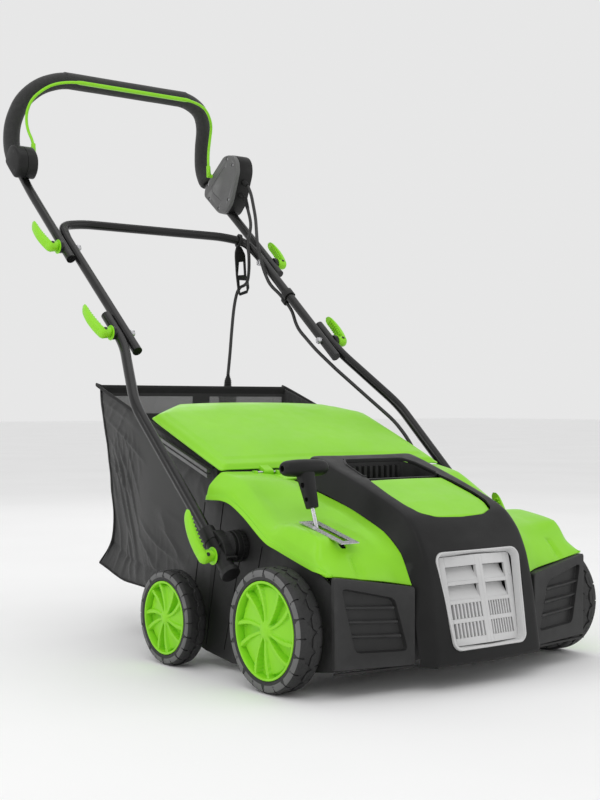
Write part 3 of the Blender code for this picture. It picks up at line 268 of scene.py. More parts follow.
def bump_from(tree, shader, heights):
    """heights: (output socket, strength, distance) chained one over another."""
    last = None
    for socket, strength, distance in heights:
        node = add(tree, "ShaderNodeBump", Strength=strength, Distance=distance)
        tree.links.new(socket, node.inputs["Height"])
        if last:
            tree.links.new(last.outputs["Normal"], node.inputs["Normal"])
        last = node
    tree.links.new(last.outputs["Normal"], shader.inputs["Normal"])


def plastic(name, low, high, rough, grain=900.0, strength=0.10, coat=0.0, wear=None, specular=0.5):
    """Moulded plastic: spark-eroded grain, faint colour drift, roughness that varies, lighter worn edges."""
    material, tree, shader = new_material(name)
    place = coordinates(tree)
    drift = add(tree, "ShaderNodeTexNoise", Scale=9.0, Detail=4.0, Roughness=0.6)
    tree.links.new(place, drift.inputs["Vector"])
    colour = ramp(tree, drift.outputs["Fac"], [(0.32, low), (0.68, high)])
    if wear:
        geo = tree.nodes.new("ShaderNodeNewGeometry")
        edge = ramp(tree, geo.outputs["Pointiness"], [(0.52, grey(0)), (0.60, grey(1))])
        scuff = add(tree, "ShaderNodeTexNoise", Scale=60.0, Detail=3.0)
        tree.links.new(place, scuff.inputs["Vector"])
        amount = add(tree, "ShaderNodeMath", operation="MULTIPLY")
        tree.links.new(edge, amount.inputs[0])
        tree.links.new(scuff.outputs["Fac"], amount.inputs[1])
        mix = add(tree, "ShaderNodeMix", data_type="RGBA")
        tree.links.new(amount.outputs[0], mix.inputs["Factor"])
        tree.links.new(colour, mix.inputs["A"])
        mix.inputs["B"].default_value = (*wear, 1)
        colour = mix.outputs["Result"]
    tree.links.new(colour, shader.inputs["Base Color"])
    patches = add(tree, "ShaderNodeTexNoise", Scale=35.0, Detail=3.0)
    tree.links.new(place, patches.inputs["Vector"])
    tree.links.new(
        ramp(tree, patches.outputs["Fac"], [(0.3, grey(rough - 0.06)), (0.7, grey(rough + 0.07))]),
        shader.inputs["Roughness"],
    )
    fine = add(tree, "ShaderNodeTexNoise", Scale=grain, Detail=2.0)
    tree.links.new(place, fine.inputs["Vector"])
    wave = add(tree, "ShaderNodeTexNoise", Scale=14.0, Detail=1.0)
    tree.links.new(place, wave.inputs["Vector"])
    bump_from(tree, shader, [(wave.outputs["Fac"], 0.10, 0.002), (fine.outputs["Fac"], strength, 0.0003)])
    shader.inputs["Specular IOR Level"].default_value = specular
    shader.inputs["Coat Weight"].default_value = coat
    shader.inputs["Coat Roughness"].default_value = 0.18
    return material


def metal(name, colour, rough, brushed=(1, 1, 1), metallic=1.0, specks=None):
    material, tree, shader = new_material(name)
    place = coordinates(tree, brushed)
    lines = add(tree, "ShaderNodeTexNoise", Scale=220.0, Detail=4.0)
    tree.links.new(place, lines.inputs["Vector"])
    low = tuple(c * 0.86 for c in colour)
    tone = ramp(tree, lines.outputs["Fac"], [(0.35, low), (0.65, colour)])
    if specks:
        cells = add(tree, "ShaderNodeTexVoronoi", Scale=specks)
        tree.links.new(coordinates(tree), cells.inputs["Vector"])
        mix = add(tree, "ShaderNodeMix", data_type="RGBA", blend_type="MULTIPLY")
        mix.inputs["Factor"].default_value = 0.5
        tree.links.new(tone, mix.inputs["A"])
        tree.links.new(
            ramp(tree, cells.outputs["Distance"], [(0.0, grey(0.6)), (0.9, grey(1))]), mix.inputs["B"],
        )
        tone = mix.outputs["Result"]
    tree.links.new(tone, shader.inputs["Base Color"])
    shader.inputs["Metallic"].default_value = metallic
    tree.links.new(
        ramp(tree, lines.outputs["Fac"], [(0.3, grey(rough - 0.08)), (0.7, grey(rough + 0.1))]),
        shader.inputs["Roughness"],
    )
    bump_from(tree, shader, [(lines.outputs["Fac"], 0.12, 0.0002)])
    return material


def rubber(name, low, high, rough, grain=500.0, strength=0.3, sheen=0.0):
    material, tree, shader = new_material(name)
    place = coordinates(tree)
    dust = add(tree, "ShaderNodeTexNoise", Scale=18.0, Detail=6.0, Roughness=0.7)
    tree.links.new(place, dust.inputs["Vector"])
    tree.links.new(ramp(tree, dust.outputs["Fac"], [(0.35, low), (0.7, high)]), shader.inputs["Base Color"])
    fine = add(tree, "ShaderNodeTexNoise", Scale=grain, Detail=3.0)
    tree.links.new(place, fine.inputs["Vector"])
    tree.links.new(
        ramp(tree, fine.outputs["Fac"], [(0.3, grey(rough - 0.08)), (0.7, grey(min(1, rough + 0.08)))]),
        shader.inputs["Roughness"],
    )
    bump_from(tree, shader, [(fine.outputs["Fac"], strength, 0.0004)])
    shader.inputs["Sheen Weight"].default_value = sheen
    return material


def foam_material():
    material, tree, shader = new_material("foam_rubber")
    place = coordinates(tree)
    cells = add(tree, "ShaderNodeTexVoronoi", Scale=750.0)
    tree.links.new(place, cells.inputs["Vector"])
    lumps = add(tree, "ShaderNodeTexNoise", Scale=120.0, Detail=5.0)
    tree.links.new(place, lumps.inputs["Vector"])
    tree.links.new(
        ramp(tree, cells.outputs["Distance"], [(0.05, grey(0.010)), (0.6, grey(0.030))]),
        shader.inputs["Base Color"],
    )
    tree.links.new(
        ramp(tree, lumps.outputs["Fac"], [(0.3, grey(0.80)), (0.7, grey(0.96))]),
        shader.inputs["Roughness"],
    )
    bump_from(tree, shader, [(lumps.outputs["Fac"], 0.35, 0.0008), (cells.outputs["Distance"], 0.5, 0.0006)])
    shader.inputs["Sheen Weight"].default_value = 0.15
    return material


def cloth_material(name, low, high, thread, along="YZ", alpha=None, sheen=0.2):
    """Woven cloth: two crossed sets of threads, each a wave across one axis of the panel."""
    material, tree, shader = new_material(name)
    geo = tree.nodes.new("ShaderNodeTexCoord")
    split = tree.nodes.new("ShaderNodeSeparateXYZ")
    tree.links.new(geo.outputs["Object"], split.inputs["Vector"])
    waves = []
    for axis, phase in zip(along, (0.0, 1.6)):
        scaled = add(tree, "ShaderNodeMath", operation="MULTIPLY")
        tree.links.new(split.outputs[axis], scaled.inputs[0])
        scaled.inputs[1].default_value = 2 * pi / thread
        shifted = add(tree, "ShaderNodeMath", operation="ADD")
        tree.links.new(scaled.outputs[0], shifted.inputs[0])
        shifted.inputs[1].default_value = phase
        wave = add(tree, "ShaderNodeMath", operation="SINE")
        tree.links.new(shifted.outputs[0], wave.inputs[0])
        waves.append(wave.outputs[0])
    weave = add(tree, "ShaderNodeMath", operation="MULTIPLY")
    tree.links.new(waves[0], weave.inputs[0])
    tree.links.new(waves[1], weave.inputs[1])
    lift = add(tree, "ShaderNodeMath", operation="MULTIPLY_ADD")
    tree.links.new(weave.outputs[0], lift.inputs[0])
    lift.inputs[1].default_value = 0.5
    lift.inputs[2].default_value = 0.5
    wear = add(tree, "ShaderNodeTexNoise", Scale=14.0, Detail=5.0)
    tree.links.new(geo.outputs["Object"], wear.inputs["Vector"])
    tone = ramp(tree, wear.outputs["Fac"], [(0.3, low), (0.7, high)])
    mix = add(tree, "ShaderNodeMix", data_type="RGBA", blend_type="MULTIPLY")
    mix.inputs["Factor"].default_value = 0.75
    tree.links.new(tone, mix.inputs["A"])
    tree.links.new(ramp(tree, lift.outputs[0], [(0.1, grey(0.45)), (0.9, grey(1.25))]), mix.inputs["B"])
    tree.links.new(mix.outputs["Result"], shader.inputs["Base Color"])
    tree.links.new(
        ramp(tree, wear.outputs["Fac"], [(0.3, grey(0.78)), (0.7, grey(0.95))]), shader.inputs["Roughness"],
    )
    bump_from(tree, shader, [(wear.outputs["Fac"], 0.2, 0.003), (lift.outputs[0], 0.6, 0.0006)])
    shader.inputs["Sheen Weight"].default_value = sheen
    if alpha is not None:
        tree.links.new(
            ramp(tree, lift.outputs[0], [(0.42, grey(alpha)), (0.58, grey(1))]), shader.inputs["Alpha"],
        )
    return material


LIME = plastic(
    "lime_moulding", (0.245, 0.640, 0.016), (0.275, 0.690, 0.022), 0.36, 1400.0, 0.05, specular=0.3,
)
LIME_BRIGHT = plastic(
    "lime_wheel_moulding", (0.250, 0.650, 0.016), (0.280, 0.700, 0.022), 0.38, 1200.0, 0.06, specular=0.3,
)
BLACK = plastic(
    "black_moulding", grey(0.0085), grey(0.0135), 0.42, 800.0, 0.22, wear=grey(0.035), specular=0.2,
)
SKIRT = plastic("skirt_moulding", grey(0.020), grey(0.030), 0.50, 700.0, 0.28, wear=grey(0.06), specular=0.25)
GREY = plastic("grey_moulding", grey(0.090), grey(0.115), 0.50, 700.0, 0.25, wear=grey(0.2))
# near-black plastic, also used as painted shade: the plate behind the grille's cells, the lever's lightening slot and
# the crosses in the switch screws
DARK_AND_SHADE = plastic("dark_moulding_and_painted_shade", grey(0.007), grey(0.011), 0.55, 700.0, 0.2)
SILVER = plastic("silver_moulding", grey(0.54), grey(0.62), 0.33, 1100.0, 0.08, specular=0.5)
TUBE = plastic(
    "black_powder_coat", grey(0.0050), grey(0.0080), 0.22, 420.0, 0.10, specular=0.32, wear=grey(0.03),
)
TYRE = rubber("tyre_sidewall", grey(0.120), grey(0.150), 0.72, 420.0, 0.25)
TREAD = rubber("tyre_tread", grey(0.012), grey(0.020), 0.62, 380.0, 0.35)
CABLE = rubber("cable_rubber", grey(0.008), grey(0.013), 0.42, 900.0, 0.12)
FOAM = foam_material()
STEEL = metal("turned_steel", grey(0.52), 0.28, (1, 0.08, 0.08))
ZINC = metal("zinc_plate", (0.60, 0.60, 0.62), 0.30, (1, 1, 1), specks=160.0)
ROD_STEEL = metal("bright_rod", (0.66, 0.66, 0.68), 0.22, (0.1, 1, 1))
MOTOR_CASE = metal("cast_case", grey(0.18), 0.5, (1, 1, 1), 0.9)
CLOTH_SIDE = cloth_material("bag_weave_side", grey(0.026), grey(0.040), 0.0024, "YZ")
CLOTH_BACK = cloth_material("bag_weave_back", grey(0.022), grey(0.034), 0.0024, "XZ")
CLOTH_LOW = cloth_material("bag_weave_bottom", grey(0.030), grey(0.042), 0.0024, "XY")
MESH_CLOTH = cloth_material("bag_mesh_band", grey(0.10), grey(0.16), 0.0034, "XZ", alpha=0.35)
BAND = cloth_material("bag_binding", grey(0.006), grey(0.010), 0.0016, "XY", sheen=0.05)


# ------------------------------------------------------------------ building helpers
def make(name, verts, faces, material, smooth=35.0, materials=None, slots=None, outward=True):
    """A mesh object from positions given from the front axle; smooth is the angle kept smooth."""
    mesh = bpy.data.meshes.new(name)
    mesh.from_pydata([(v[0], v[1] + Y0, v[2]) for v in verts], [], faces)
    if slots is not None:
        mesh.polygons.foreach_set("material_index", slots)
    if outward:
        work = bmesh.new()
        work.from_mesh(mesh)
        bmesh.ops.recalc_face_normals(work, faces=work.faces)
        work.to_mesh(mesh)
        work.free()
    mesh.materials.append(material)
    for extra in materials or []:
        mesh.materials.append(extra)
    shade(mesh, smooth)
    obj = bpy.data.objects.new(name, mesh)
    bpy.context.scene.collection.objects.link(obj)
    return obj


def shade(mesh, angle):
    mesh.polygons.foreach_set("use_smooth", [True] * len(mesh.polygons))
    mesh.set_sharp_from_angle(angle=radians(angle))
    mesh.update()


def finish_piece(obj, body, slot=None, replaces=()):
    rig.ride(obj, body)
    if slot:
        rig.slot(obj, slot)
    if replaces:
        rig.replaces(obj, *replaces)
    return obj


class Shape:
    """Several closed forms gathered into one mesh, each with its own material slot."""

    def __init__(self):
        self.verts, self.faces, self.slots = [], [], []

    def add(self, verts, faces, slot=0):
        start = len(self.verts)
        self.verts += [tuple(v) for v in verts]
        self.faces += [tuple(start + i for i in face) for face in faces]
        self.slots += [slot] * len(faces)
        return self

    def rings(self, rings, slot=0, caps=True, closed=False):
        """Skins a list of rings of equal count."""
        n = len(rings[0])
        verts = [p for ring in rings for p in ring]
        faces = []
        last = len(rings) if closed else len(rings) - 1
        for i in range(last):
            a, b = i * n, ((i + 1) % len(rings)) * n
            faces += [(a + j, a + (j + 1) % n, b + (j + 1) % n, b + j) for j in range(n)]
        if caps and not closed:
            faces += [tuple(reversed(range(n))), tuple(range(len(verts) - n, len(verts)))]
        return self.add(verts, faces, slot)

    def box(self, low, high, slot=0):
        (a, b, c), (d, e, f) = low, high
        return self.rings([[(x, b, c), (x, e, c), (x, e, f), (x, b, f)] for x in (a, d)], slot)

    def prism(self, outline, low, high, slot=0, bevel=0.0):
        """Outline points (y, z) from x = low to high, with a bevelled rim if asked."""
        outline = [Vector(p) for p in outline]
        if bevel:
            inner = inset(outline, bevel)
            step = bevel if high > low else -bevel
            levels = [(low, inner), (low + step, outline), (high - step, outline), (high, inner)]
        else:
            levels = [(low, outline), (high, outline)]
        return self.rings([[(x, p[0], p[1]) for p in line] for x, line in levels], slot)

    def build(self, name, materials, smooth=35.0):
        return make(name, self.verts, self.faces, materials[0], smooth, materials[1:], self.slots)


def inset(outline, by):
    """The outline moved inward by a distance."""
    n = len(outline)
    area = sum(
        outline[i].x * outline[(i + 1) % n].y - outline[(i + 1) % n].x * outline[i].y for i in range(n)
    )
    turn = 1 if area > 0 else -1
    out = []
    for i in range(n):
        a, b, c = outline[i - 1], outline[i], outline[(i + 1) % n]
        u, v = (b - a).normalized(), (c - b).normalized()
        n1, n2 = Vector((-u.y, u.x)) * turn, Vector((-v.y, v.x)) * turn
        mid = n1 + n2
        mid = mid.normalized() if mid.length > 1e-6 else n1
        out.append(b + mid * by / max(0.35, mid.dot(n1)))
    return out


def inset_line(outline, by):
    """inset() for plain pairs."""
    return [tuple(p) for p in inset([Vector(p) for p in outline], by)]


def round_corner(a, b, c, radius, share, steps):
    """Points of a curve that takes the place of corner b, using up to a share of each side."""
    a, b, c = Vector(a), Vector(b), Vector(c)
    u, v = a - b, c - b
    reach = min(radius, share * u.length, share * v.length)
    p, q = b + u.normalized() * reach, b + v.normalized() * reach
    out = []
    for k in range(steps + 1):
        t = k / steps
        out.append(p * (1 - t) ** 2 + b * 2 * t * (1 - t) + q * t * t)
    return out


def round_corners(outline, radius, steps=4):
    """The closed outline with all its corners rounded."""
    out, n = [], len(outline)
    for i in range(n):
        out += round_corner(outline[i - 1], outline[i], outline[(i + 1) % n], radius, 0.45, steps)
    return out


def soft_outline(points, radius=0.010, steps=5):
    """round_corners() for plain pairs."""
    return [tuple(p) for p in round_corners(points, radius, steps)]


def bend_path(points, radius, steps=7):
    """The polyline with its inner corners rounded, as the CAD tubes are."""
    out = [Vector(points[0])]
    for a, b, c in zip(points, points[1:], points[2:]):
        out += round_corner(a, b, c, radius, 0.48, steps)
    return out + [Vector(points[-1])]


def spline(points, per=8, soft=1.0):
    """Points of a curve through all the given ones; soft 0 is the straight polyline, 1 fully smooth."""
    pts = [Vector(p) for p in points]
    pts = [pts[0] * 2 - pts[1]] + pts + [pts[-1] * 2 - pts[-2]]
    out = []
    for a, b, c, d in zip(pts, pts[1:], pts[2:], pts[3:]):
        for k in range(per):
            t = k / per
            curve = 0.5 * (
                2 * b + (c - a) * t + (2 * a - 5 * b + 4 * c - d) * t * t + (3 * b - a - 3 * c + d) * t ** 3
            )
            out.append(curve if soft == 1.0 else b.lerp(c, t) * (1 - soft) + curve * soft)
    out.append(pts[-2])
    return out


def even(points, step):
    """The same line with points a fixed distance apart."""
    pts = np.array([tuple(p) for p in points])
    lengths = np.concatenate([[0], np.cumsum(np.linalg.norm(np.diff(pts, axis=0), axis=1))])
    count = max(2, int(round(lengths[-1] / step)) + 1)
    at = np.linspace(0, lengths[-1], count)
    return [Vector([np.interp(t, lengths, pts[:, k]) for k in range(3)]) for t in at]


def tube_rings(path, radius, sides=20):
    """Rings round a path with a frame carried along it; radius may be a list."""
    path = [Vector(p) for p in path]
    n = len(path)
    tangents = []
    for i in range(n):
        low, high = max(i - 1, 0), min(i + 1, n - 1)
        while (path[high] - path[low]).length < 1e-6 and (low > 0 or high < n - 1):
            low, high = max(low - 1, 0), min(high + 1, n - 1)
        tangents.append((path[high] - path[low]).normalized())
    side = tangents[0].orthogonal().normalized()
    rings = []
    for i, (p, t) in enumerate(zip(path, tangents)):
        side = (side - t * side.dot(t)).normalized()
        other = t.cross(side)
        r = radius[i] if isinstance(radius, (list, tuple)) else radius
        rings.append(
            [
                p + side * r * cos(2 * pi * k / sides) + other * r * sin(2 * pi * k / sides)
                for k in range(sides)
            ]
        )
    return rings


def tube(name, path, radius, material, sides=20, round_ends=0.0):
    """A round bar with softly broken end edges."""
    path = [Vector(p) for p in path]
    if round_ends:
        e = round_ends
        head = (path[1] - path[0]).normalized()
        tail = (path[-1] - path[-2]).normalized()
        radii = [radius - e, radius - e * 0.3] + [radius] * (len(path)) + [radius - e * 0.3, radius - e]
        path = [path[0], path[0] + head * e * 0.3, path[0] + head * e] + path[1:-1] + [
            path[-1] - tail * e, path[-1] - tail * e * 0.3, path[-1],
        ]
    else:
        radii = [radius] * len(path)
    shape = Shape().rings(tube_rings(path, radii, sides))
    return make(name, shape.verts, shape.faces, material, 50.0)


def bar_rings(path):
    """Rings of a handle tube whose ends are closed by shallow caps."""
    radii = [CAP_R] + [TUBE_R] * len(path) + [CAP_R]
    return tube_rings([path[0]] + path + [path[-1]], radii, 28)


def revolve(profile, centre, steps=64):
    """Rings of a profile of (x, r) about a line along X through centre (y, z)."""
    rings = []
    for x, r in profile:
        r = max(r, 1e-5)
        rings.append([(x, *polar(centre, r, 2 * pi * k / steps)) for k in range(steps)])
    return rings


def polar(centre, r, angle):
    return (centre[0] + r * cos(angle), centre[1] + r * sin(angle))


def squared(value, power):
    """A sine or cosine pushed outward, so that a ring made from it is a rounded square."""
    return abs(value) ** power * (1 if value > 0 else -1)


def line_at(s, n=0.0):
    """(y, z) on the straight handle line, s up along it and n across it to the front."""
    c, d = cos(HANDLE_SLOPE), sin(HANDLE_SLOPE)
    return (LINE_POINT[0] + s * c - n * d, LINE_POINT[1] + s * d + n * c)


def smoothstep(a, b, x):
    t = min(1.0, max(0.0, (x - a) / (b - a)))
    return t * t * (3 - 2 * t)


def mirror(points):
    return [(-x, y, z) for x, y, z in points]


# ------------------------------------------------------------------ camera, light and floor
def studio():
    camera = bpy.data.cameras.new("camera")
    camera.sensor_width = 36.0
    camera.lens = 60.516
    camera.clip_start, camera.clip_end = 0.05, 60.0
    view = bpy.data.objects.new("camera", camera)
    bpy.context.scene.collection.objects.link(view)
    yaw, pitch = radians(37.37), radians(0.245)
    forward = Vector((sin(yaw) * cos(pitch), cos(yaw) * cos(pitch), sin(pitch)))
    view.location = (-1.434, -1.560 + Y0, 0.412)
    view.rotation_mode = "QUATERNION"
    view.rotation_quaternion = forward.to_track_quat("-Z", "Y")
    bpy.context.scene.camera = view
    bpy.context.scene.view_settings.view_transform = "Standard"

    world = bpy.data.worlds.new("studio")
    world.use_nodes = True
    background = world.node_tree.nodes["Background"]
    background.inputs["Color"].default_value = (1.0, 1.0, 1.0, 1.0)
    background.inputs["Strength"].default_value = 0.80
    bpy.context.scene.world = world

    def area(name, place, target, size, power):
        data = bpy.data.lights.new(name, "AREA")
        data.shape = "RECTANGLE"
        data.size, data.size_y = size
        data.energy = power
        light = bpy.data.objects.new(name, data)
        bpy.context.scene.collection.objects.link(light)
        light.location = place
        light.rotation_mode = "QUATERNION"
        light.rotation_quaternion = (Vector(target) - Vector(place)).to_track_quat("-Z", "Y")

    area("key", (-1.9, -2.2, 2.9), (0, 0, 0.3), (1.6, 1.6), 15.0)
    area("left_strip", (-2.6, 0.6, 1.5), (0, 0, 0.5), (0.7, 2.4), 11.0)
    area("right_fill", (2.4, -1.9, 1.6), (0, 0, 0.3), (1.4, 1.6), 6.0)
    area("top", (0.2, 0.2, 3.2), (0, 0, 0), (2.2, 2.2), 10.0)
    area("back", (1.2, 2.8, 2.0), (0, 0, 0.5), (1.6, 1.2), 7.0)

    material, tree, shader = new_material("pale_floor")
    cloud = add(tree, "ShaderNodeTexNoise", Scale=1.5, Detail=3.0)
    tree.links.new(coordinates(tree), cloud.inputs["Vector"])
    tree.links.new(
        ramp(tree, cloud.outputs["Fac"], [(0.3, grey(0.90)), (0.7, grey(0.93))]),
        shader.inputs["Base Color"],
    )
    shader.inputs["Roughness"].default_value = 0.85
    mesh = bpy.data.meshes.new("floor")
    mesh.from_pydata(
        [(-30, -30, -0.0004), (30, -30, -0.0004), (30, 30, -0.0004), (-30, 30, -0.0004)], [],
        [(0, 1, 2, 3)],
    )
    mesh.materials.append(material)
    floor = bpy.data.objects.new("floor", mesh)
    bpy.context.scene.collection.objects.link(floor)
    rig.stage(floor)


studio()

# ------------------------------------------------------------------ wheels
def wheel(place, side, sign, centre, radius, width, rim_r, spin):
    """Rubber tyre with tread blocks and grooved side walls, on a dished rim with five pairs of spokes."""
    base = radius - 0.0022

    def at_depth(depth):
        """x of a point that far inward from the wheel's outer face."""
        return sign * (WHEEL_OUT - depth)

    shape = Shape()
    steps = 128
    tyre = [
        (0.0016, rim_r + 0.0006), (0.0006, rim_r + 0.0014), (0.0003, rim_r + 0.0040),
        (0.0003, radius - 0.0085), (0.0016, radius - 0.0052), (0.0048, base - 0.0004), (0.0075, base),
        (width - 0.0075, base), (width - 0.0048, base - 0.0004), (width - 0.0016, radius - 0.0052),
        (width - 0.0003, radius - 0.0085), (width - 0.0003, rim_r + 0.0040),
        (width - 0.0016, rim_r + 0.0006), (width * 0.5, rim_r + 0.0004),
    ]
    shape.rings(revolve([(at_depth(d), r) for d, r in tyre], centre, steps), 1, closed=True)

    def on(angle, r, depth):
        return (at_depth(depth), *polar(centre, r, angle))

    def block(points, top, low, slot):
        """A raised pad over a patch of (angle, across) corners; top and low are heights as radii."""
        n = len(points)
        ca, cd = sum(p[0] for p in points) / n, sum(p[1] for p in points) / n
        small = [(ca + (a - ca) * 0.93, cd + (d - cd) * 0.93) for a, d in points]
        rings = [
            [on(a, low, d) for a, d in points], [on(a, top - 0.0004, d) for a, d in points],
            [on(a, top, d) for a, d in small],
        ]
        shape.rings(rings, slot)

    def from_side(d, far):
        return width - d if far else d

    count = 20
    pitch = 2 * pi / count
    gap = 0.0011 / radius
    for k in range(count):
        a0 = k * pitch
        a1 = a0 + pitch
        odd = k % 2
        # shoulder lugs: side-wall plates that wrap over the corner onto the tread
        for far in (0, 1):
            shift = 0.5 * pitch * far
            b0, b1 = a0 + shift + gap, a1 + shift - gap
            skew = 0.16 * pitch * (1 if odd else -0.4)
            cut = 0.0045 if odd else 0.0075
            rows = [
                (rim_r + 0.0048, -0.0001, b0 + skew, b1 + skew),
                (rim_r + 0.0075, -0.0006, b0 + skew, b1 + skew),
                (radius - 0.0070, -0.0006, b0 + skew * 0.2, b1 + skew * 0.2),
                (radius - 0.0032, 0.0008, b0, b1),
                (radius - 0.0005, 0.0042, b0, b1),
                (radius, 0.0068, b0, b1),
                (radius, 0.0105 + cut * 0.3, b0 + skew * 0.5, b1 - skew * 0.2),
            ]
            grid_top, grid_low = [], []
            cells = 4
            for r, d, s, e in rows:
                grid_top.append(
                    [on(s + (e - s) * j / cells, r, from_side(d + 0.0006, far)) for j in range(cells + 1)]
                )
                sunk = r - (0.0028 if d > 0.004 else 0.0010)
                grid_low.append(
                    [
                        on(s + (e - s) * j / cells, sunk, from_side(d + 0.0024, far))
                        for j in range(cells + 1)
                    ]
                )
            m = cells + 1
            verts = [p for row in grid_top for p in row] + [p for row in grid_low for p in row]
            base_at = len(rows) * m
            faces, kinds = [], []
            for i in range(len(rows) - 1):
                for j in range(cells):
                    q = i * m + j
                    faces.append((q, q + 1, q + m + 1, q + m))
                    kinds.append(0 if i < 3 else 1)
                    faces.append((base_at + q + m, base_at + q + m + 1, base_at + q + 1, base_at + q))
                    kinds.append(1)
            last = len(rows) - 1
            edge = list(range(m)) + [i * m + cells for i in range(1, last + 1)]
            edge += [last * m + j for j in range(cells - 1, -1, -1)] + [i * m for i in range(last - 1, 0, -1)]
            for u, v in zip(edge, edge[1:] + edge[:1]):
                faces.append((v, u, base_at + u, base_at + v))
                kinds.append(1)
            start = len(shape.verts)
            shape.verts += verts
            shape.faces += [tuple(start + i for i in face) for face in faces]
            shape.slots += kinds
        # two rows of six-sided blocks round the middle of the tread
        mid = width / 2
        half = 0.0046 if width < 0.038 else 0.0058
        for row, off in ((-1, 0.25), (1, 0.75)):
            c = mid + row * (half + 0.0008)
            s, e = a0 + off * pitch + gap, a1 + off * pitch - gap
            w = (e - s) * 0.22
            cells = [
                (s, c), (s + w, c - half), (e - w, c - half), (e, c), (e - w, c + half), (s + w, c + half),
            ]
            block(cells, radius, base - 0.001, 1)
    tyre_obj = shape.build(f"tyre_{place}_{side}", [TYRE, TREAD], 32.0)
    finish_piece(tyre_obj, spin, "tyre", [f"{place}_tyre_{side}"])

    # rim: a polar relief, deep pockets between five petals, each petal edged by two curved spokes
    ring_count, steps = 46, 240
    barrel = rim_r - 0.0002
    lip_in = barrel - 0.0042
    hub = 0.0115 * radius / 0.09

    def depth(r, a):
        share = (r - hub) / (lip_in - hub)
        swirl = 0.20 * share ** 1.4
        phase = ((a - swirl * sign) / (2 * pi) * 5) % 1.0
        across = (phase - 0.5) * 2 * pi / 5           # angle from the petal's middle
        spread = 0.34 + 0.05 * share
        from_spoke = (abs(across) - spread) * r       # metres; 0 on a spoke's middle
        half = 0.0015 + 0.0020 * share
        top = 0.0012 + 0.0024 * (1 - share) * 0.4
        petal = 0.0040 + 0.0042 * share ** 1.5 * (0.6 + 0.4 * cos(across * 4))
        pocket = 0.0125 - 0.0020 * (1 - share)
        floor = petal if from_spoke < 0 else pocket
        rise = 1 - smoothstep(half, half + (0.0016 if from_spoke < 0 else 0.0011), abs(from_spoke))
        d = floor + (top - floor) * rise
        if share > 0.90:                                # petals end short of the lip
            d = d + (0.0115 - d) * smoothstep(0.90, 0.955, share) * (1 - rise)
        blend = smoothstep(0.0, 0.10, share)
        dome = 0.0012
        return dome + (d - dome) * blend if share > 0 else dome

    grid = []
    for i in range(ring_count):
        r = hub + (lip_in - hub) * (i / (ring_count - 1))
        turns = [2 * pi * k / steps for k in range(steps)]
        grid.append([(at_depth(0.0015 + depth(r, a)), *polar(centre, r, a)) for a in turns])
    outer = [
        (0.0022, lip_in + 0.0002), (0.0006, lip_in + 0.0010), (0.0003, barrel - 0.0010), (0.0009, barrel),
        (width - 0.0015, barrel), (width - 0.0015, barrel - 0.0030), (0.0185, barrel - 0.0036),
        (0.0175, 0.0150), (width - 0.0030, 0.0135), (width - 0.0030, 0.0066),
    ]
    lip = revolve([(at_depth(d), r) for d, r in outer], centre, steps)
    middle = [(at_depth(0.0004 + 0.0015 * (q / 5) ** 2), hub * q / 5) for q in range(1, 5)]
    dome = revolve(middle, centre, steps)
    bore = revolve([(at_depth(0.0090), 0.0066)], centre, steps)
    shape = Shape().rings(dome + grid + lip + bore, 0)
    rim_obj = shape.build(f"rim_{place}_{side}", [LIME_BRIGHT], 38.0)
    finish_piece(rim_obj, spin, "lime_plastic", [f"{place}_rim_{side}"])


for side, sign in SIDES:
    wheel("front", side, sign, (0.0, FRONT_R), FRONT_R, 0.0415, 0.0713, f"front_wheel_{side}")
    wheel("rear", side, sign, REAR_AXLE, REAR_R, 0.036, 0.0583, f"rear_wheel_{side}")

# ------------------------------------------------------------------ handle tubes
C42, S42 = cos(radians(42)), sin(radians(42))
LOWER_X, OUTER_X, MIDDLE_X = 0.2930, 0.2433, 0.2245
LEVER_UPPER_S, LEVER_MIDDLE_S = 0.035, -0.230
BRACKET_LOW = (0.1070, 0.1613)
BRACKET_BOLT = (BRACKET_LOW[0] + 0.036 * C42, BRACKET_LOW[1] + 0.036 * S42)
BRACKET_FACE = 0.3060        # outside of the bracket's washer
TUBE_FACE = OUTER_X + 0.0120  # outside of the washers on the outer tubes
BOLT_R = 0.0122


def stud(shape, a, b, at):
    """A washer from x = a to b with broken edges."""
    e = 0.0012 if b > a else -0.0012
    shape.rings(revolve([(a, BOLT_R - 0.001), (a + e, BOLT_R), (b - e, BOLT_R), (b, BOLT_R - 0.001)], at, 32))


for side, sign in SIDES:
    path = bend_path(
        [
            (sign * LOWER_X, BRACKET_LOW[0] + 0.006 * C42, BRACKET_LOW[1] + 0.006 * S42),
            (sign * LOWER_X, 0.3867, 0.4132), (sign * OUTER_X, *line_at(-0.262)),
            (sign * OUTER_X, *line_at(-0.178)),
        ],
        0.030, 10,
    )
    shape = Shape().rings(bar_rings(path))
    stud(shape, sign * (OUTER_X + 0.004), sign * TUBE_FACE, line_at(LEVER_MIDDLE_S))
    finish_piece(
        shape.build(f"lower_tube_{side}_bar", [TUBE], 50), "lower_handle", "black_tube",
        [f"lower_tube_{side}"],
    )

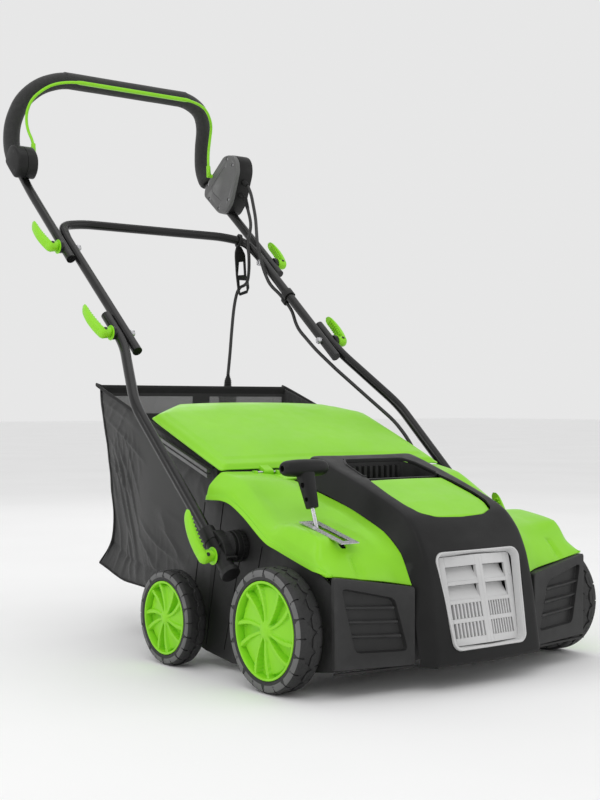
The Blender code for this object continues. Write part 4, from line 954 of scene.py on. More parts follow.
half = [
    (MIDDLE_X, *line_at(-0.282)), (MIDDLE_X, *line_at(0.070)), (0.2160, 0.7960, 0.7620),
    (0.1665, 0.8070, 0.7700),
]
path = bend_path(half + mirror(reversed(half)), 0.034, 10)
shape = Shape().rings(bar_rings(path))
for side, sign in SIDES:
    for s in (LEVER_UPPER_S, LEVER_MIDDLE_S):
        at = line_at(s)
        hexagon = [polar(at, 0.0072, pi / 3 * k + 0.3) for k in range(6)]
        shape.prism(hexagon, sign * (MIDDLE_X - 0.0150), sign * (MIDDLE_X - 0.0070), 1, 0.0006)
        bolt_end = sign * (MIDDLE_X - 0.0170)
        bolt = [(bolt_end, 0.0026), (bolt_end, 0.0032), (sign * (MIDDLE_X - 0.012), 0.0032)]
        shape.rings(revolve(bolt, at, 16), 1)
finish_piece(shape.build("middle_tube_bar", [TUBE, ZINC], 50), "middle_handle", "black_tube", ["middle_tube"])

grip_half = [
    (OUTER_X, *line_at(-0.004)), (OUTER_X - 0.003, 0.880, 0.8335), (0.2335, 0.9680, 0.9080),
    (0.2330, 0.9880, 0.9450), (0.2320, 0.9860, 0.9900), (0.2220, 0.9620, 1.0350), (0.1950, 0.9370, 1.0640),
    (0.1500, 0.9250, 1.0800),
]
grip_path = bend_path(grip_half + mirror(reversed(grip_half)), 0.022, 6)
shape = Shape().rings(bar_rings(grip_path))
for side, sign in SIDES:
    stud(shape, sign * (OUTER_X + 0.004), sign * TUBE_FACE, line_at(LEVER_UPPER_S))
finish_piece(shape.build("upper_tube_bar", [TUBE], 50), "upper_handle", "black_tube", ["upper_tube"])

foam_line = even(spline([p for p in grip_path if p.z > 0.9065], 2), 0.004)
count = len(foam_line)
radii = []
for i, p in enumerate(foam_line):
    soft = noise.noise(Vector((p.x * 16, p.y * 16, p.z * 16 + 4.2))) * 0.00035
    end = min(i, count - 1 - i)
    radii.append(FOAM_R + soft - 0.0030 * exp(-end * 1.1))
foam = Shape().rings(tube_rings(foam_line, radii, 36)).build("foam_sleeve", [FOAM], 60)
finish_piece(foam, "upper_handle", "foam", ["foam_grip"])
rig.padded(foam, fill=0.95)

# ------------------------------------------------------------------ carving and painting
def carve(obj, cutters, bevel=0.0, smooth=32.0):
    """Cuts other meshes out of obj, for good, and drops them."""
    for cutter in cutters:
        modifier = obj.modifiers.new("cut", "BOOLEAN")
        modifier.operation = "DIFFERENCE"
        modifier.solver = "EXACT"
        modifier.object = cutter
    bpy.context.view_layer.update()
    done = bpy.data.meshes.new_from_object(obj.evaluated_get(bpy.context.evaluated_depsgraph_get()))
    obj.modifiers.clear()
    obj.data = done
    shade(done, smooth)
    for cutter in cutters:
        bpy.data.objects.remove(cutter)
    if bevel:
        break_edges(obj, bevel, 50)
    return obj


def break_edges(obj, width, angle):
    """A fine bevel on every edge sharper than the angle."""
    edge = obj.modifiers.new("edge", "BEVEL")
    edge.width = width
    edge.segments = 2
    edge.limit_method = "ANGLE"
    edge.angle_limit = radians(angle)


def paint(name, material, bevel=0.0, angle=35.0):
    """A CAD node kept as it is, with its procedural material and softened edges."""
    obj = nodes[name]
    if not obj.data.materials:
        obj.data.materials.append(material)
    for slot in obj.material_slots:
        slot.material = material
    obj.data.polygons.foreach_set("use_smooth", [True] * len(obj.data.polygons))
    weld = obj.modifiers.new("weld", "WELD")
    weld.merge_threshold = 0.00002
    if bevel:
        break_edges(obj, bevel, 40)
    split = obj.modifiers.new("split", "EDGE_SPLIT")
    split.split_angle = radians(angle)
    return obj


def slab(name, outline, low, high):
    """A cutter over an outline in plan."""
    return Shape().rings([[(x, y, z) for x, y in outline] for z in (low, high)]).build(name, [BLACK])


def round_hole(profile, centre, steps=24, material=None):
    """A cutter turned about a line along X."""
    return Shape().rings(revolve(profile, centre, steps)).build("hole", [material or DARK_AND_SHADE])


# ------------------------------------------------------------------ hood, bridge and rear flap
def dense(rows, per_row, per_col, soft=0.6):
    """A grid filled in between its points, partly straight and partly smooth, so that its creases stay soft."""
    wide = [spline(row, per_col, soft) for row in rows]
    columns = [spline(column, per_row, soft) for column in zip(*wide)]
    return [list(row) for row in zip(*columns)]


def grid_faces(high, wide):
    """Quads of a grid of high by wide points, row after row."""
    corners = [i * wide + j for i in range(high - 1) for j in range(wide - 1)]
    return [(c, c + 1, c + wide + 1, c + wide) for c in corners]


def skin(name, grid, thickness, material, smooth=32.0):
    """A sheet through a dense grid, with its own thickness below it."""
    verts = [tuple(p) for row in grid for p in row]
    obj = make(name, verts, grid_faces(len(grid), len(grid[0])), material, smooth, outward=False)
    mesh = obj.data
    up = sum(p.normal.z - 0.3 * p.normal.y for p in mesh.polygons)
    if up < 0:
        mesh.flip_normals()
    solid = obj.modifiers.new("wall", "SOLIDIFY")
    solid.thickness = thickness
    solid.offset = -1.0
    break_edges(obj, 0.0006, 60)
    return obj


HOOD = [
    [(0.1228, 0.2150, 0.3000), (0.150, 0.2150, 0.3040), (0.180, 0.2150, 0.3060), (0.210, 0.2150, 0.3065),
     (0.236, 0.2150, 0.3060), (0.258, 0.2150, 0.2870), (0.2655, 0.2150, 0.2640)],
    [(0.1228, 0.1600, 0.2890), (0.150, 0.1600, 0.2930), (0.180, 0.1600, 0.2950), (0.210, 0.1600, 0.2960),
     (0.232, 0.1600, 0.2950), (0.256, 0.1600, 0.2800), (0.2655, 0.1600, 0.2635)],
    [(0.1228, 0.1150, 0.2770), (0.150, 0.1150, 0.2780), (0.180, 0.1150, 0.2710), (0.210, 0.1150, 0.2660),
     (0.235, 0.1150, 0.2670), (0.257, 0.1150, 0.2560), (0.2655, 0.1150, 0.2450)],
    [(0.1228, 0.0600, 0.2630), (0.150, 0.0600, 0.2600), (0.180, 0.0600, 0.2450), (0.210, 0.0600, 0.2380),
     (0.240, 0.0600, 0.2350), (0.258, 0.0600, 0.2260), (0.2655, 0.0600, 0.2110)],
    [(0.1228, 0.0220, 0.2520), (0.148, 0.0220, 0.2500), (0.168, 0.0220, 0.2400), (0.200, 0.0220, 0.2365),
     (0.245, 0.0220, 0.2365), (0.259, 0.0220, 0.2220), (0.2655, 0.0220, 0.1990)],
    [(0.1228, -0.0480, 0.2250), (0.145, -0.0480, 0.2230), (0.160, -0.0480, 0.2185), (0.200, -0.0480, 0.2195),
     (0.246, -0.0500, 0.2230), (0.2595, -0.0500, 0.2020), (0.2655, -0.0500, 0.1800)],
    [(0.1230, -0.0860, 0.1960), (0.145, -0.0820, 0.1960), (0.162, -0.0780, 0.1960), (0.200, -0.0740, 0.1960),
     (0.242, -0.0705, 0.1960), (0.2590, -0.0690, 0.1880), (0.2655, -0.0680, 0.1770)],
    [(0.1230, -0.1095, 0.1525), (0.145, -0.1020, 0.1565), (0.170, -0.1010, 0.1610), (0.205, -0.0990, 0.1660),
     (0.240, -0.0960, 0.1715), (0.2580, -0.0940, 0.1740), (0.2655, -0.0900, 0.1750)],
]


def lipped(row, step=0.0013):
    """The row, cut short, and the small lip that runs round the moulding's outer edge."""
    edge, before = Vector(row[-1]), Vector(row[-2])
    inner = edge - (edge - before).normalized() * 0.0072
    lip = [tuple(inner + Vector((step, 0, 0.0002))), tuple(edge + Vector((step * 0.4, 0, 0)))]
    return row[:-1] + [tuple(inner)], lip


def hood_side(side, sign):
    """One half of the hood: its skin, its lip, and on the left the slot of the depth lever."""
    main, lips = zip(*(lipped(row) for row in HOOD))
    grid = dense(list(main), 9, 7)
    lip = dense([list(l) for l in lips], 9, 3, 1.0)
    grid = [g + l for g, l in zip(grid, lip)]
    # the lip also turns along the front edge
    for j, p in enumerate(grid[-1]):
        if j < len(grid[-1]) - 4:
            grid[-1][j] = p + Vector((0, -0.0004, -0.0002))
    for row in grid:
        for j, p in enumerate(row):
            # a tapered dent down the front of the lever's boss
            w = max(0.0, 1 - abs(p.x - 0.2065) / (0.0045 + 0.045 * max(0.0, 0.197 - p.z)))
            if p.z < 0.198 and p.y < -0.05:
                row[j] = p + Vector(
                    (0, 0.0034, -0.0006)
                ) * smoothstep(0, 0.6, w) * smoothstep(0.160, 0.176, p.z)
    grid = [[Vector((sign * p.x, p.y, p.z)) for p in row] for row in grid]
    obj = skin(f"hood_shell_{side}", grid, 0.0026, LIME)
    if sign < 0:
        slot_line = soft_outline(
            [(-0.2182, -0.0640), (-0.2058, -0.0640), (-0.2058, 0.0095), (-0.2182, 0.0095)], 0.0045,
        )
        carve(obj, [slab("lever_slot", slot_line, 0.15, 0.30)])
    return finish_piece(obj, "chassis", "lime_plastic", ["hood"])


for side, sign in SIDES:
    hood_side(side, sign)

bridge = dense(
    [[(x, y, z + 0.0015 * (1 - (x / 0.14) ** 2)) for x in (-0.1400, -0.07, 0.0, 0.07, 0.1400)]
     for y, z in ((0.2148, 0.3025), (0.1930, 0.2992), (0.1720, 0.2945))], 5, 8)
finish_piece(skin("hood_bridge", bridge, 0.0026, LIME), "chassis", "lime_plastic", ["hood"])

shape = Shape()
for x in (-0.176, -0.132, 0.132, 0.176):
    outline = round_corners(
        [(0.2000, 0.2920), (0.2120, 0.2920), (0.2125, 0.3075), (0.2010, 0.3075)], 0.003, 3,
    )
    shape.prism(outline, x - 0.0025, x + 0.0025, 0, 0.0004)
finish_piece(shape.build("hinge_lugs", [LIME]), "chassis", "lime_plastic", ["hood"])

FLAP_HINGE = (0.2075, 0.3045)
FLAP_SLOPE = atan2(0.108, 0.269)
COIL_R = 0.0042


def on_flap(x, s, n):
    c, d = cos(FLAP_SLOPE), sin(FLAP_SLOPE)
    return (x, FLAP_HINGE[0] + s * c - n * d, FLAP_HINGE[1] + s * d + n * c)


def flap_height(x, s, edge):
    """Crown of the flap across and along, with a flat raised field and a lower border."""
    across = 1 - (abs(x) / edge) ** 2.2
    crown = 0.0085 + 0.0085 * across * smoothstep(0.0, 0.10, s) * (1 - smoothstep(0.22, 0.292, s) * 0.55)
    rim = smoothstep(0.0, 0.016, edge - abs(x)) * smoothstep(0.0, 0.014, 0.2850 - s)
    field = 0.0016 * smoothstep(
        0.020, 0.024, edge - abs(x),
    ) * smoothstep(0.034, 0.040, s) * smoothstep(0.0, 0.006, 0.262 - s)
    lip = smoothstep(0.0090, 0.0190, s)          # the front edge turns down to the hood
    return (crown * (0.55 + 0.45 * rim) + field - 0.0032 * (1 - rim) ** 2) * lip + 0.0022 * (1 - lip)


def flap_edge(s):
    """Half the flap's width, s from its hinge."""
    points = (
        (0.0100, 0.2340), (0.0130, 0.2360), (0.0500, 0.2375), (0.1300, 0.2395), (0.2120, 0.2410),
        (0.2300, 0.2395), (0.2850, 0.1560),
    )
    return float(np.interp(s, [p[0] for p in points], [p[1] for p in points]))


rows = []
for i in range(61):
    s = 0.0100 + (0.2850 - 0.0100) * (i / 60) ** 1.25
    edge = flap_edge(s)
    row = []
    for j in range(-44, 45):
        t = j / 44
        t = (1 if t > 0 else -1) * (1 - (1 - abs(t)) ** 1.35)
        x = t * edge
        row.append(Vector(on_flap(x, s, flap_height(x, s, edge))))
    rows.append(row)
flap = skin("flap_shell", rows, 0.0024, LIME, smooth=30)
finish_piece(flap, "flap", "lime_plastic", ["rear_flap"])
shape = Shape()
for x in (-0.150, 0.150):
    eye = [
        on_flap(0, *p)[1:]
        for p in (
            (-0.0045, 0.0036), (0.0, 0.0052), (0.0090, 0.0054), (0.0280, 0.0078), (0.0280, 0.0040),
            (0.0050, -0.0050), (-0.0020, -0.0058), (-0.0050, -0.0020),
        )
    ]
    shape.prism(round_corners(eye, 0.003, 3), x - 0.009, x + 0.009, 0, 0.0005)
finish_piece(shape.build("flap_eyes", [LIME]), "flap", "lime_plastic", ["rear_flap"])
rod_line = [Vector((-0.1790, *FLAP_HINGE)), Vector((0.1790, *FLAP_HINGE))]
finish_piece(tube("flap_pin", rod_line, 0.0020, ROD_STEEL, 18), "chassis", "steel", ["flap_hinge_rod"])
coil = []
for i in range(121):
    a = 2 * pi * i / 24
    coil.append((0.020 + 0.022 * i / 120, *polar(FLAP_HINGE, COIL_R, a)))
leg_on_hood = (0.018, FLAP_HINGE[0] + COIL_R, FLAP_HINGE[1] - 0.014)
spring_line = [leg_on_hood] + coil + [on_flap(0.0440, 0.018, -0.0030)]
finish_piece(tube("flap_spring_coil", spring_line, 0.0009, ROD_STEEL, 8), "chassis", "steel", ["flap_spring"])

# ------------------------------------------------------------------ brackets, hubs and cam levers
HUB = (0.140, 0.197)
hub_low, hub_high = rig.box("pivot_hub_left")
HUB_R = (hub_high.z - hub_low.z) / 2
for side, sign in SIDES:
    R = HUB_R
    profile = [
        (0.2504, 0.004), (0.2504, R - 0.0008), (0.2512, R), (0.2600, R), (0.2606, R - 0.0006), (0.2612, R),
        (0.2692, R), (0.2700, R - 0.0008), (0.2700, R - 0.0030), (0.2735, R - 0.0034), (0.2735, 0.004),
    ]
    hub = Shape().rings(revolve([(sign * x, r) for x, r in profile], HUB, 72))
    for k in range(24):
        a = 2 * pi * k / 24
        rib = ((R - 0.001, -0.03), (R + 0.0005, -0.022), (R + 0.0005, 0.022), (R - 0.001, 0.03))
        hub.rings([[(sign * x, *polar(HUB, r, a + d)) for r, d in rib] for x in (0.2530, 0.2590)])
    finish_piece(hub.build(f"hub_{side}", [BLACK]), "chassis", "black_plastic", [f"pivot_hub_{side}"])

    bracket = Shape()
    D = R - 0.0006
    profile = [
        (0.2738, 0.002), (0.2738, D - 0.0010), (0.2746, D), (0.2762, D), (0.2772, D - 0.0012),
        (0.2782, D - 0.0022), (0.2804, D - 0.0058), (0.2826, D - 0.0108), (0.2842, D - 0.0165),
        (0.2848, 0.0050), (0.2849, 0.0005),
    ]
    bracket.rings(revolve([(sign * x, r) for x, r in profile], HUB, 72))
    low = Vector((sign * LOWER_X, *BRACKET_LOW))
    direction = Vector((0, C42, S42))
    body = [
        (-0.0045, 0.0138), (-0.0042, 0.0150), (0.0020, 0.0156), (0.0036, 0.0152), (0.0046, 0.0128),
        (0.030, 0.0123), (0.062, 0.0123), (0.0630, 0.0136), (0.0870, 0.0136), (0.0878, 0.0128),
        (0.0880, 0.0094), (0.0840, 0.0092),
    ]
    path = [low + direction * s for s, _ in body]
    bracket.rings(tube_rings(path, [r for _, r in body], 36))
    web = round_corners(
        [(0.124, 0.168), (0.150, 0.179), (0.174, 0.213), (0.152, 0.224), (0.126, 0.208), (0.116, 0.186)],
        0.008, 4,
    )
    bracket.prism(web, sign * 0.2760, sign * 0.2935, 0, 0.0012)
    # ribs that join the sleeve and the dome
    for q in (0.018, 0.046):
        a = low + direction * q
        rib = [(-0.001, -0.001), (0.0012, 0.0010), (-0.010, 0.013), (-0.012, 0.011)]
        bracket.prism([(a.y + dy, a.z + dz) for dy, dz in rib], sign * 0.2780, sign * 0.2960, 0, 0.0003)
    stud(bracket, sign * 0.2975, sign * BRACKET_FACE, BRACKET_BOLT)
    finish_piece(
        bracket.build(f"bracket_{side}", [BLACK], 30), "lower_handle", "black_plastic",
        [f"tube_bracket_{side}"],
    )


def arm_at(u):
    """Reach, height and thickness of a lever's arm, a share u along it."""
    bow = 0.0055 + 0.0120 * sin(pi * 0.5 * u ** 0.75) - 0.0060 * u ** 3
    thick = 0.0078 * (1 - u) ** 0.7 * 0.9 + 0.0020 + 0.0022 * sin(pi * u)
    return -0.0020 + 0.0800 * u, bow, thick


def cam_lever(name, sign, x_face, centre, slope, body, holder):
    """A washer on the tube, and a barrel with a curved arm that has teeth along its inner side."""
    pin = 0.0112
    along, up = Vector((0, cos(slope), sin(slope))), Vector((0, -sin(slope), cos(slope)))
    base = Vector((x_face + sign * pin, centre[0], centre[1]))

    def at(t, o, n):
        return base + along * t + Vector((sign * o, 0, 0)) + up * n

    washer = Shape()
    outline = [
        (0.0002, 0.0020), (0.0002, 0.0128), (0.0006, 0.0136), (0.0010, 0.0136), (0.0013, 0.0130),
        (0.0014, 0.0020),
    ]
    washer.rings(
        [
            [at(r * cos(2 * pi * k / 40), o - pin, r * sin(2 * pi * k / 40)) for k in range(40)]
            for o, r in outline
        ]
    )
    finish_piece(washer.build(f"lever_washer_{name}", [LIME_BRIGHT], 38), holder, "lime_plastic")
    shape = Shape()
    # barrel, leaning towards the arm
    rings = []
    for k, (o, t, half_t, half_n) in enumerate(
        (
            (-pin + 0.0018, 0.0000, 0.0060, 0.0098), (-pin + 0.0032, 0.0000, 0.0080, 0.0098),
            (-0.0040, 0.0004, 0.0102, 0.0096), (0.0010, -0.0004, 0.0104, 0.0098),
            (0.0060, -0.0006, 0.0110, 0.0102), (0.0100, 0.0004, 0.0100, 0.0096),
            (0.0128, 0.0018, 0.0070, 0.0066), (0.0136, 0.0022, 0.0030, 0.0030),
        )
    ):
        rings.append(
            [at(t + half_t * cos(2 * pi * q / 36), o, half_n * sin(2 * pi * q / 36)) for q in range(36)]
        )
    shape.rings(rings)
    # arm
    rings, count = [], 26
    for k in range(count + 1):
        u = k / count
        t, o, thick = arm_at(u)
        half_n = 0.0100 * (1 - 0.18 * u) * sqrt(max(0.0, 1 - max(0.0, (u - 0.80) / 0.2) ** 2.4)) + 0.0006
        thick *= 1 - 0.75 * max(0.0, (u - 0.80) / 0.2) ** 2
        ring = []
        for q in range(24):
            a = 2 * pi * q / 24
            ca, sa = cos(a), sin(a)
            out = o + thick * 0.5 * squared(ca, 0.6) + 0.0010 * (1 - abs(sa) ** 2)
            ring.append(at(t, out, half_n * squared(sa, 0.62)))
        rings.append(ring)
    shape.rings(rings)
    # teeth under the arm
    for k in range(8):
        u = 0.22 + 0.080 * k
        t, o, thick = arm_at(u)
        lo = o - thick * 0.5
        profile = [
            (t - 0.0012, lo + 0.0012), (t + 0.0052, lo + 0.0012), (t + 0.0034, lo - 0.0022),
            (t + 0.0020, lo - 0.0022),
        ]
        half_n = 0.0072 * (1 - 0.18 * u)
        shape.rings([[at(p, q, m) for p, q in profile] for m in (-half_n, half_n)])
    # lightening slot and the pin that the arm turns on; the slot is a dark plate in the arm's faces, painted shade in
    # the recess, and the pin's ends are dark discs
    for m in (-1, 1):
        pin_end = [polar((-0.0005, 0.0030), 0.0030, 2 * pi * q / 16) for q in range(16)]
        slot = ((0.0110, 0.0096), (0.0190, 0.0136), (0.0196, 0.0118), (0.0114, 0.0076))
        shape.rings([[at(t, o, m * n) for t, o in pin_end] for n in (0.0085, 0.0108)], 1)
        shape.rings([[at(t, o, m * n) for t, o in slot] for n in (0.0060, 0.0096)], 1)
    obj = shape.build(f"lever_{name}", [LIME_BRIGHT, DARK_AND_SHADE], 38)
    return finish_piece(obj, body, "lime_plastic", [f"cam_lever_{name}"])


for side, sign in SIDES:
    for label, x_face, centre, slope, holder in (
        ("top", TUBE_FACE, line_at(LEVER_UPPER_S), HANDLE_SLOPE, "upper_handle"),
        ("mid", TUBE_FACE, line_at(LEVER_MIDDLE_S), HANDLE_SLOPE, "lower_handle"),
        ("low", BRACKET_FACE, BRACKET_BOLT, radians(62), "lower_handle")):
        cam_lever(f"{label}_{side}", sign, sign * x_face, centre, slope, f"{label}_lever_{side}", holder)

# ------------------------------------------------------------------ centre arch, carry bowl and inset panel
ARCH_SIDE_X = 0.1225
ridge = [
    (0.1560, 0.3180), (0.1480, 0.3306), (0.1200, 0.3240), (0.0945, 0.3157), (0.0220, 0.2913),
    (-0.0460, 0.2655), (-0.0790, 0.2484), (-0.1030, 0.2222), (-0.1200, 0.1867), (-0.1340, 0.1325),
    (-0.1420, 0.0800), (-0.1480, 0.0440), (-0.1450, 0.0350),
]
inward = [
    (0.1560, 0.2990), (0.1450, 0.3000), (0.1200, 0.2810), (0.1000, 0.2755), (0.0380, 0.2570),
    (-0.0270, 0.2340), (-0.0640, 0.2120), (-0.0870, 0.1930), (-0.1010, 0.1680), (-0.1130, 0.1250),
    (-0.1210, 0.0780), (-0.1270, 0.0460), (-0.1260, 0.0350),
]
rows = []
for (y, z), (iy, iz) in zip(ridge, inward):
    bow = 0.004 if z < 0.24 else 0.001
    # the shoulder is rounded: two more points between the flat side and the top
    rows.append(
        [
            (-ARCH_SIDE_X, iy, iz), (-0.1090, y + (iy - y) * 0.16, z + (iz - z) * 0.16),
            (-0.1040, y + (iy - y) * 0.015, z + (iz - z) * 0.015), (-0.0920, y - 0.0008, z + 0.0006),
            (-0.045, y - bow * 0.8, z), (0.0, y - bow, z), (0.045, y - bow * 0.8, z),
            (0.0920, y - 0.0008, z + 0.0006), (0.1040, y + (iy - y) * 0.015, z + (iz - z) * 0.015),
            (0.1090, y + (iy - y) * 0.16, z + (iz - z) * 0.16), (ARCH_SIDE_X, iy, iz),
        ]
    )
arch = skin("arch_shell", dense(rows, 7, 4, 0.75), 0.0030, BLACK)
arch.modifiers.remove(arch.modifiers["edge"])
PANEL = [
    (-0.078, 0.0440), (-0.083, 0.0200), (-0.087, -0.0200), (-0.086, -0.0520), (-0.0760, -0.0740),
    (-0.050, -0.0835), (0.0, -0.0860), (0.050, -0.0835), (0.0760, -0.0740), (0.086, -0.0520),
    (0.087, -0.0200), (0.083, 0.0200), (0.078, 0.0440),
]

TILT = radians(12.9)
GRILLE = (-0.1330, 0.1262)


def tilted(x, o, u):
    """A point of the grille's own frame, o out to the front and u up its leaning face."""
    c, s = cos(TILT), sin(TILT)
    return (x, GRILLE[0] - o * c + u * s, GRILLE[1] + o * s + u * c)


def rounded(top_half, bottom_half, height, radius, steps=7):
    out = []
    for x, z, quarter in (
        (top_half, height / 2, 0), (-top_half, height / 2, 1), (-bottom_half, -height / 2, 2),
        (bottom_half, -height / 2, 3),
    ):
        cx, cz = x - radius * (1 if x > 0 else -1), z - radius * (1 if z > 0 else -1)
        for k in range(steps + 1):
            angle = pi / 2 * (quarter + k / steps)
            out.append((cx + radius * cos(angle), cz + radius * sin(angle)))
    return out


bezel = rounded(0.0872, 0.0762, 0.1464, 0.0162)
hole = Shape().rings([[tilted(x, o, u) for x, u in bezel] for o in (-0.03, 0.03)]).build("hole", [BLACK])
opening = soft_outline(
    PANEL + [
        (0.0779, 0.0445), (0.0720, 0.1000), (0.060, 0.1180), (-0.060, 0.1180), (-0.0720, 0.1000),
        (-0.0779, 0.0445),
    ],
    0.007,
)
carve(arch, [slab("panel_cut", opening, 0.205, 0.350), hole], 0.0009)
finish_piece(arch, "chassis", "black_plastic", ["centre_frame"])


def arch_top(y):
    """Height of the arch's top at y."""
    ys, zs = [p[0] for p in reversed(ridge[1:9])], [p[1] for p in reversed(ridge[1:9])]
    return float(np.interp(y, ys, zs))


# bowl under the carry opening: wall, floor, finger ribs and the lime block seen through it
wall_line = soft_outline(
    [
        (-0.0800, 0.0500), (-0.0740, 0.1000), (-0.0610, 0.1205), (0.0610, 0.1205), (0.0740, 0.1000),
        (0.0800, 0.0500),
    ],
    0.006,
)
bowl = Shape()
inner_line = inset_line(wall_line, 0.0022)
outer_low = [(x * 0.96, 0.050 + (y - 0.050) * 0.93, 0.2640) for x, y in wall_line]
bowl.rings(
    [
        outer_low, [(x, y, arch_top(y) - 0.0036) for x, y in wall_line],
        [(x, y, arch_top(y) - 0.0036) for x, y in inner_line],
        [(x * 0.96, 0.050 + (y - 0.050) * 0.93, 0.2665) for x, y in inner_line],
    ]
)
for k in range(9):
    x = -0.048 + 0.012 * k
    bowl.rings(
        [
            [
                (x - 0.0042, 0.1180, z), (x + 0.0042, 0.1180, z), (x + 0.0030, 0.1105, z),
                (x - 0.0030, 0.1105, z),
            ]
            for z in (0.2950, 0.3140)
        ]
    )
bowl.box((-0.0560, 0.0560, 0.2655), (-0.0020, 0.0850, 0.2860), 1)
finish_piece(bowl.build("carry_bowl", [BLACK, LIME], 35), "chassis", "black_plastic")
# rim that stands round the opening's rear part
lip_path = [(x, y, arch_top(y) + 0.0002) for x, y in wall_line]
finish_piece(
    tube("carry_lip", even(spline(lip_path, 2), 0.004), 0.0022, BLACK, 12), "chassis", "black_plastic",
)

edge_y = [-0.0848, -0.0840, -0.0822, -0.0725, -0.0520, -0.0200, 0.0200, 0.0430]
edge_x = [0.0040, 0.0300, 0.0500, 0.0748, 0.0846, 0.0857, 0.0817, 0.0769]
rows = []
for i in range(45):
    t = i / 44
    y = 0.0430 - (0.0430 + 0.0848) * (1 - (1 - t) ** 1.5)
    half = float(np.interp(y, edge_y, edge_x))
    row = []
    for j in range(-22, 23):
        q = j / 22
        x = half * (1 if q > 0 else -1) * (1 - (1 - abs(q)) ** 1.4)
        z = 0.2885 + (y - 0.0220) * 0.372 - max(0.0, -0.04 - y) * 0.10
        rim = min(half - abs(x), y + 0.0850, 0.0432 - y)
        z += 0.0012 * (1 - (x / 0.09) ** 2) - 0.0022 * (1 - smoothstep(0, 0.0028, rim))
        row.append(Vector((x, y, z)))
    rows.append(row)
finish_piece(skin("inset_shell", rows, 0.0024, LIME), "chassis", "lime_plastic", ["inset_panel"])

# ------------------------------------------------------------------ grille
grille = Shape()
loops = []
for o, half, low_half, tall, r in (
    (-0.0060, 0.0866, 0.0756, 0.1452, 0.0158), (0.0018, 0.0866, 0.0756, 0.1452, 0.0158),
    (0.0030, 0.0860, 0.0750, 0.1440, 0.0154), (0.0034, 0.0848, 0.0738, 0.1420, 0.0148),
    (0.0030, 0.0838, 0.0728, 0.1402, 0.0142), (0.0012, 0.0832, 0.0722, 0.1390, 0.0138),
    (0.0008, 0.0822, 0.0712, 0.1370, 0.0130), (-0.0055, 0.0800, 0.0690, 0.1330, 0.0115),
    (-0.0085, 0.0796, 0.0686, 0.1322, 0.0112), (-0.0085, 0.0866, 0.0756, 0.1452, 0.0158),
):
    loops.append([tilted(x, o, u) for x, u in rounded(half, low_half, tall, r)])
grille.rings(loops, closed=True)


def face_out(x):
    """How far out the two leaning halves stand."""
    return -0.0105 + 0.0130 * (1 - abs(x) / 0.0790)


def bar(x0, x1, u0, u1, back=0.0040):
    """A bar of the two halves' face, with a bevelled front."""
    b = 0.0005
    xs, us = sorted((x0, x1)), sorted((u0, u1))
    rings = []
    for k, d in ((0, back), (0, b), (b, 0)):
        corners = (
            (xs[0] + k, us[0] + k), (xs[1] - k, us[0] + k), (xs[1] - k, us[1] - k), (xs[0] + k, us[1] - k),
        )
        rings.append([tilted(x, face_out(x) - d, u) for x, u in corners])
    grille.rings(rings)


RIB_X, CELL_X = 0.0072, 0.0610          # the cells lie between these
for sign in (-1, 1):
    bar(0.0, sign * RIB_X, -0.0655, 0.0655, 0.0060)
    bar(sign * CELL_X, sign * 0.0700, -0.0655, 0.0655)
    bar(sign * 0.0700, sign * 0.0775, -0.0600, 0.0655)
    levels = [(-0.0655, -0.0545), (-0.0330, -0.0265), (-0.0050, 0.0010), (0.0225, 0.0285), (0.0500, 0.0655)]
    for low, high in levels:
        bar(sign * RIB_X, sign * CELL_X, low, high)
    for row, ((_, low), (high, _)) in enumerate(zip(levels, levels[1:])):
        if row < 2:
            for k in range(8):
                x = 0.0098 + 0.0063 * k
                bar(sign * x, sign * (x + 0.0030), low, high, 0.0075)
        else:
            # a scooped louvre that dips to the back
            n, m = 12, 10
            verts = []
            for i in range(n + 1):
                u = low + (high - low) * i / n
                for j in range(m + 1):
                    x = sign * (RIB_X + (CELL_X - RIB_X) * j / m)
                    dip = 0.0008 + 0.0085 * sin(pi * 0.5 * i / n) ** 1.5 + 0.0015 * (j / m)
                    verts.append(tilted(x, face_out(x) - dip, u))
            grille.add(verts, grid_faces(n + 1, m + 1))
# a dark back plate and walls behind the cells, in the second slot: painted shade in the grille's hollow
back_line = rounded(0.0800, 0.0690, 0.1330, 0.0115)
grille.rings([[tilted(x, o, u) for x, u in back_line] for o in (-0.0200, -0.0185)], 1)
grille.rings([[tilted(x, o, u) for x, u in back_line] for o in (-0.0190, -0.0080)], 1, caps=False)
finish_piece(grille.build("grille_face", [SILVER, DARK_AND_SHADE], 30), "chassis", "silver_plastic", ["front_grille"])

# ------------------------------------------------------------------ cheeks
CHEEK_SLOPE = (-0.1025 + 0.1200) / (0.2600 - 0.1240)


def front(x):
    """y of a cheek's sloping face."""
    return -0.1200 + CHEEK_SLOPE * (x - 0.1240)


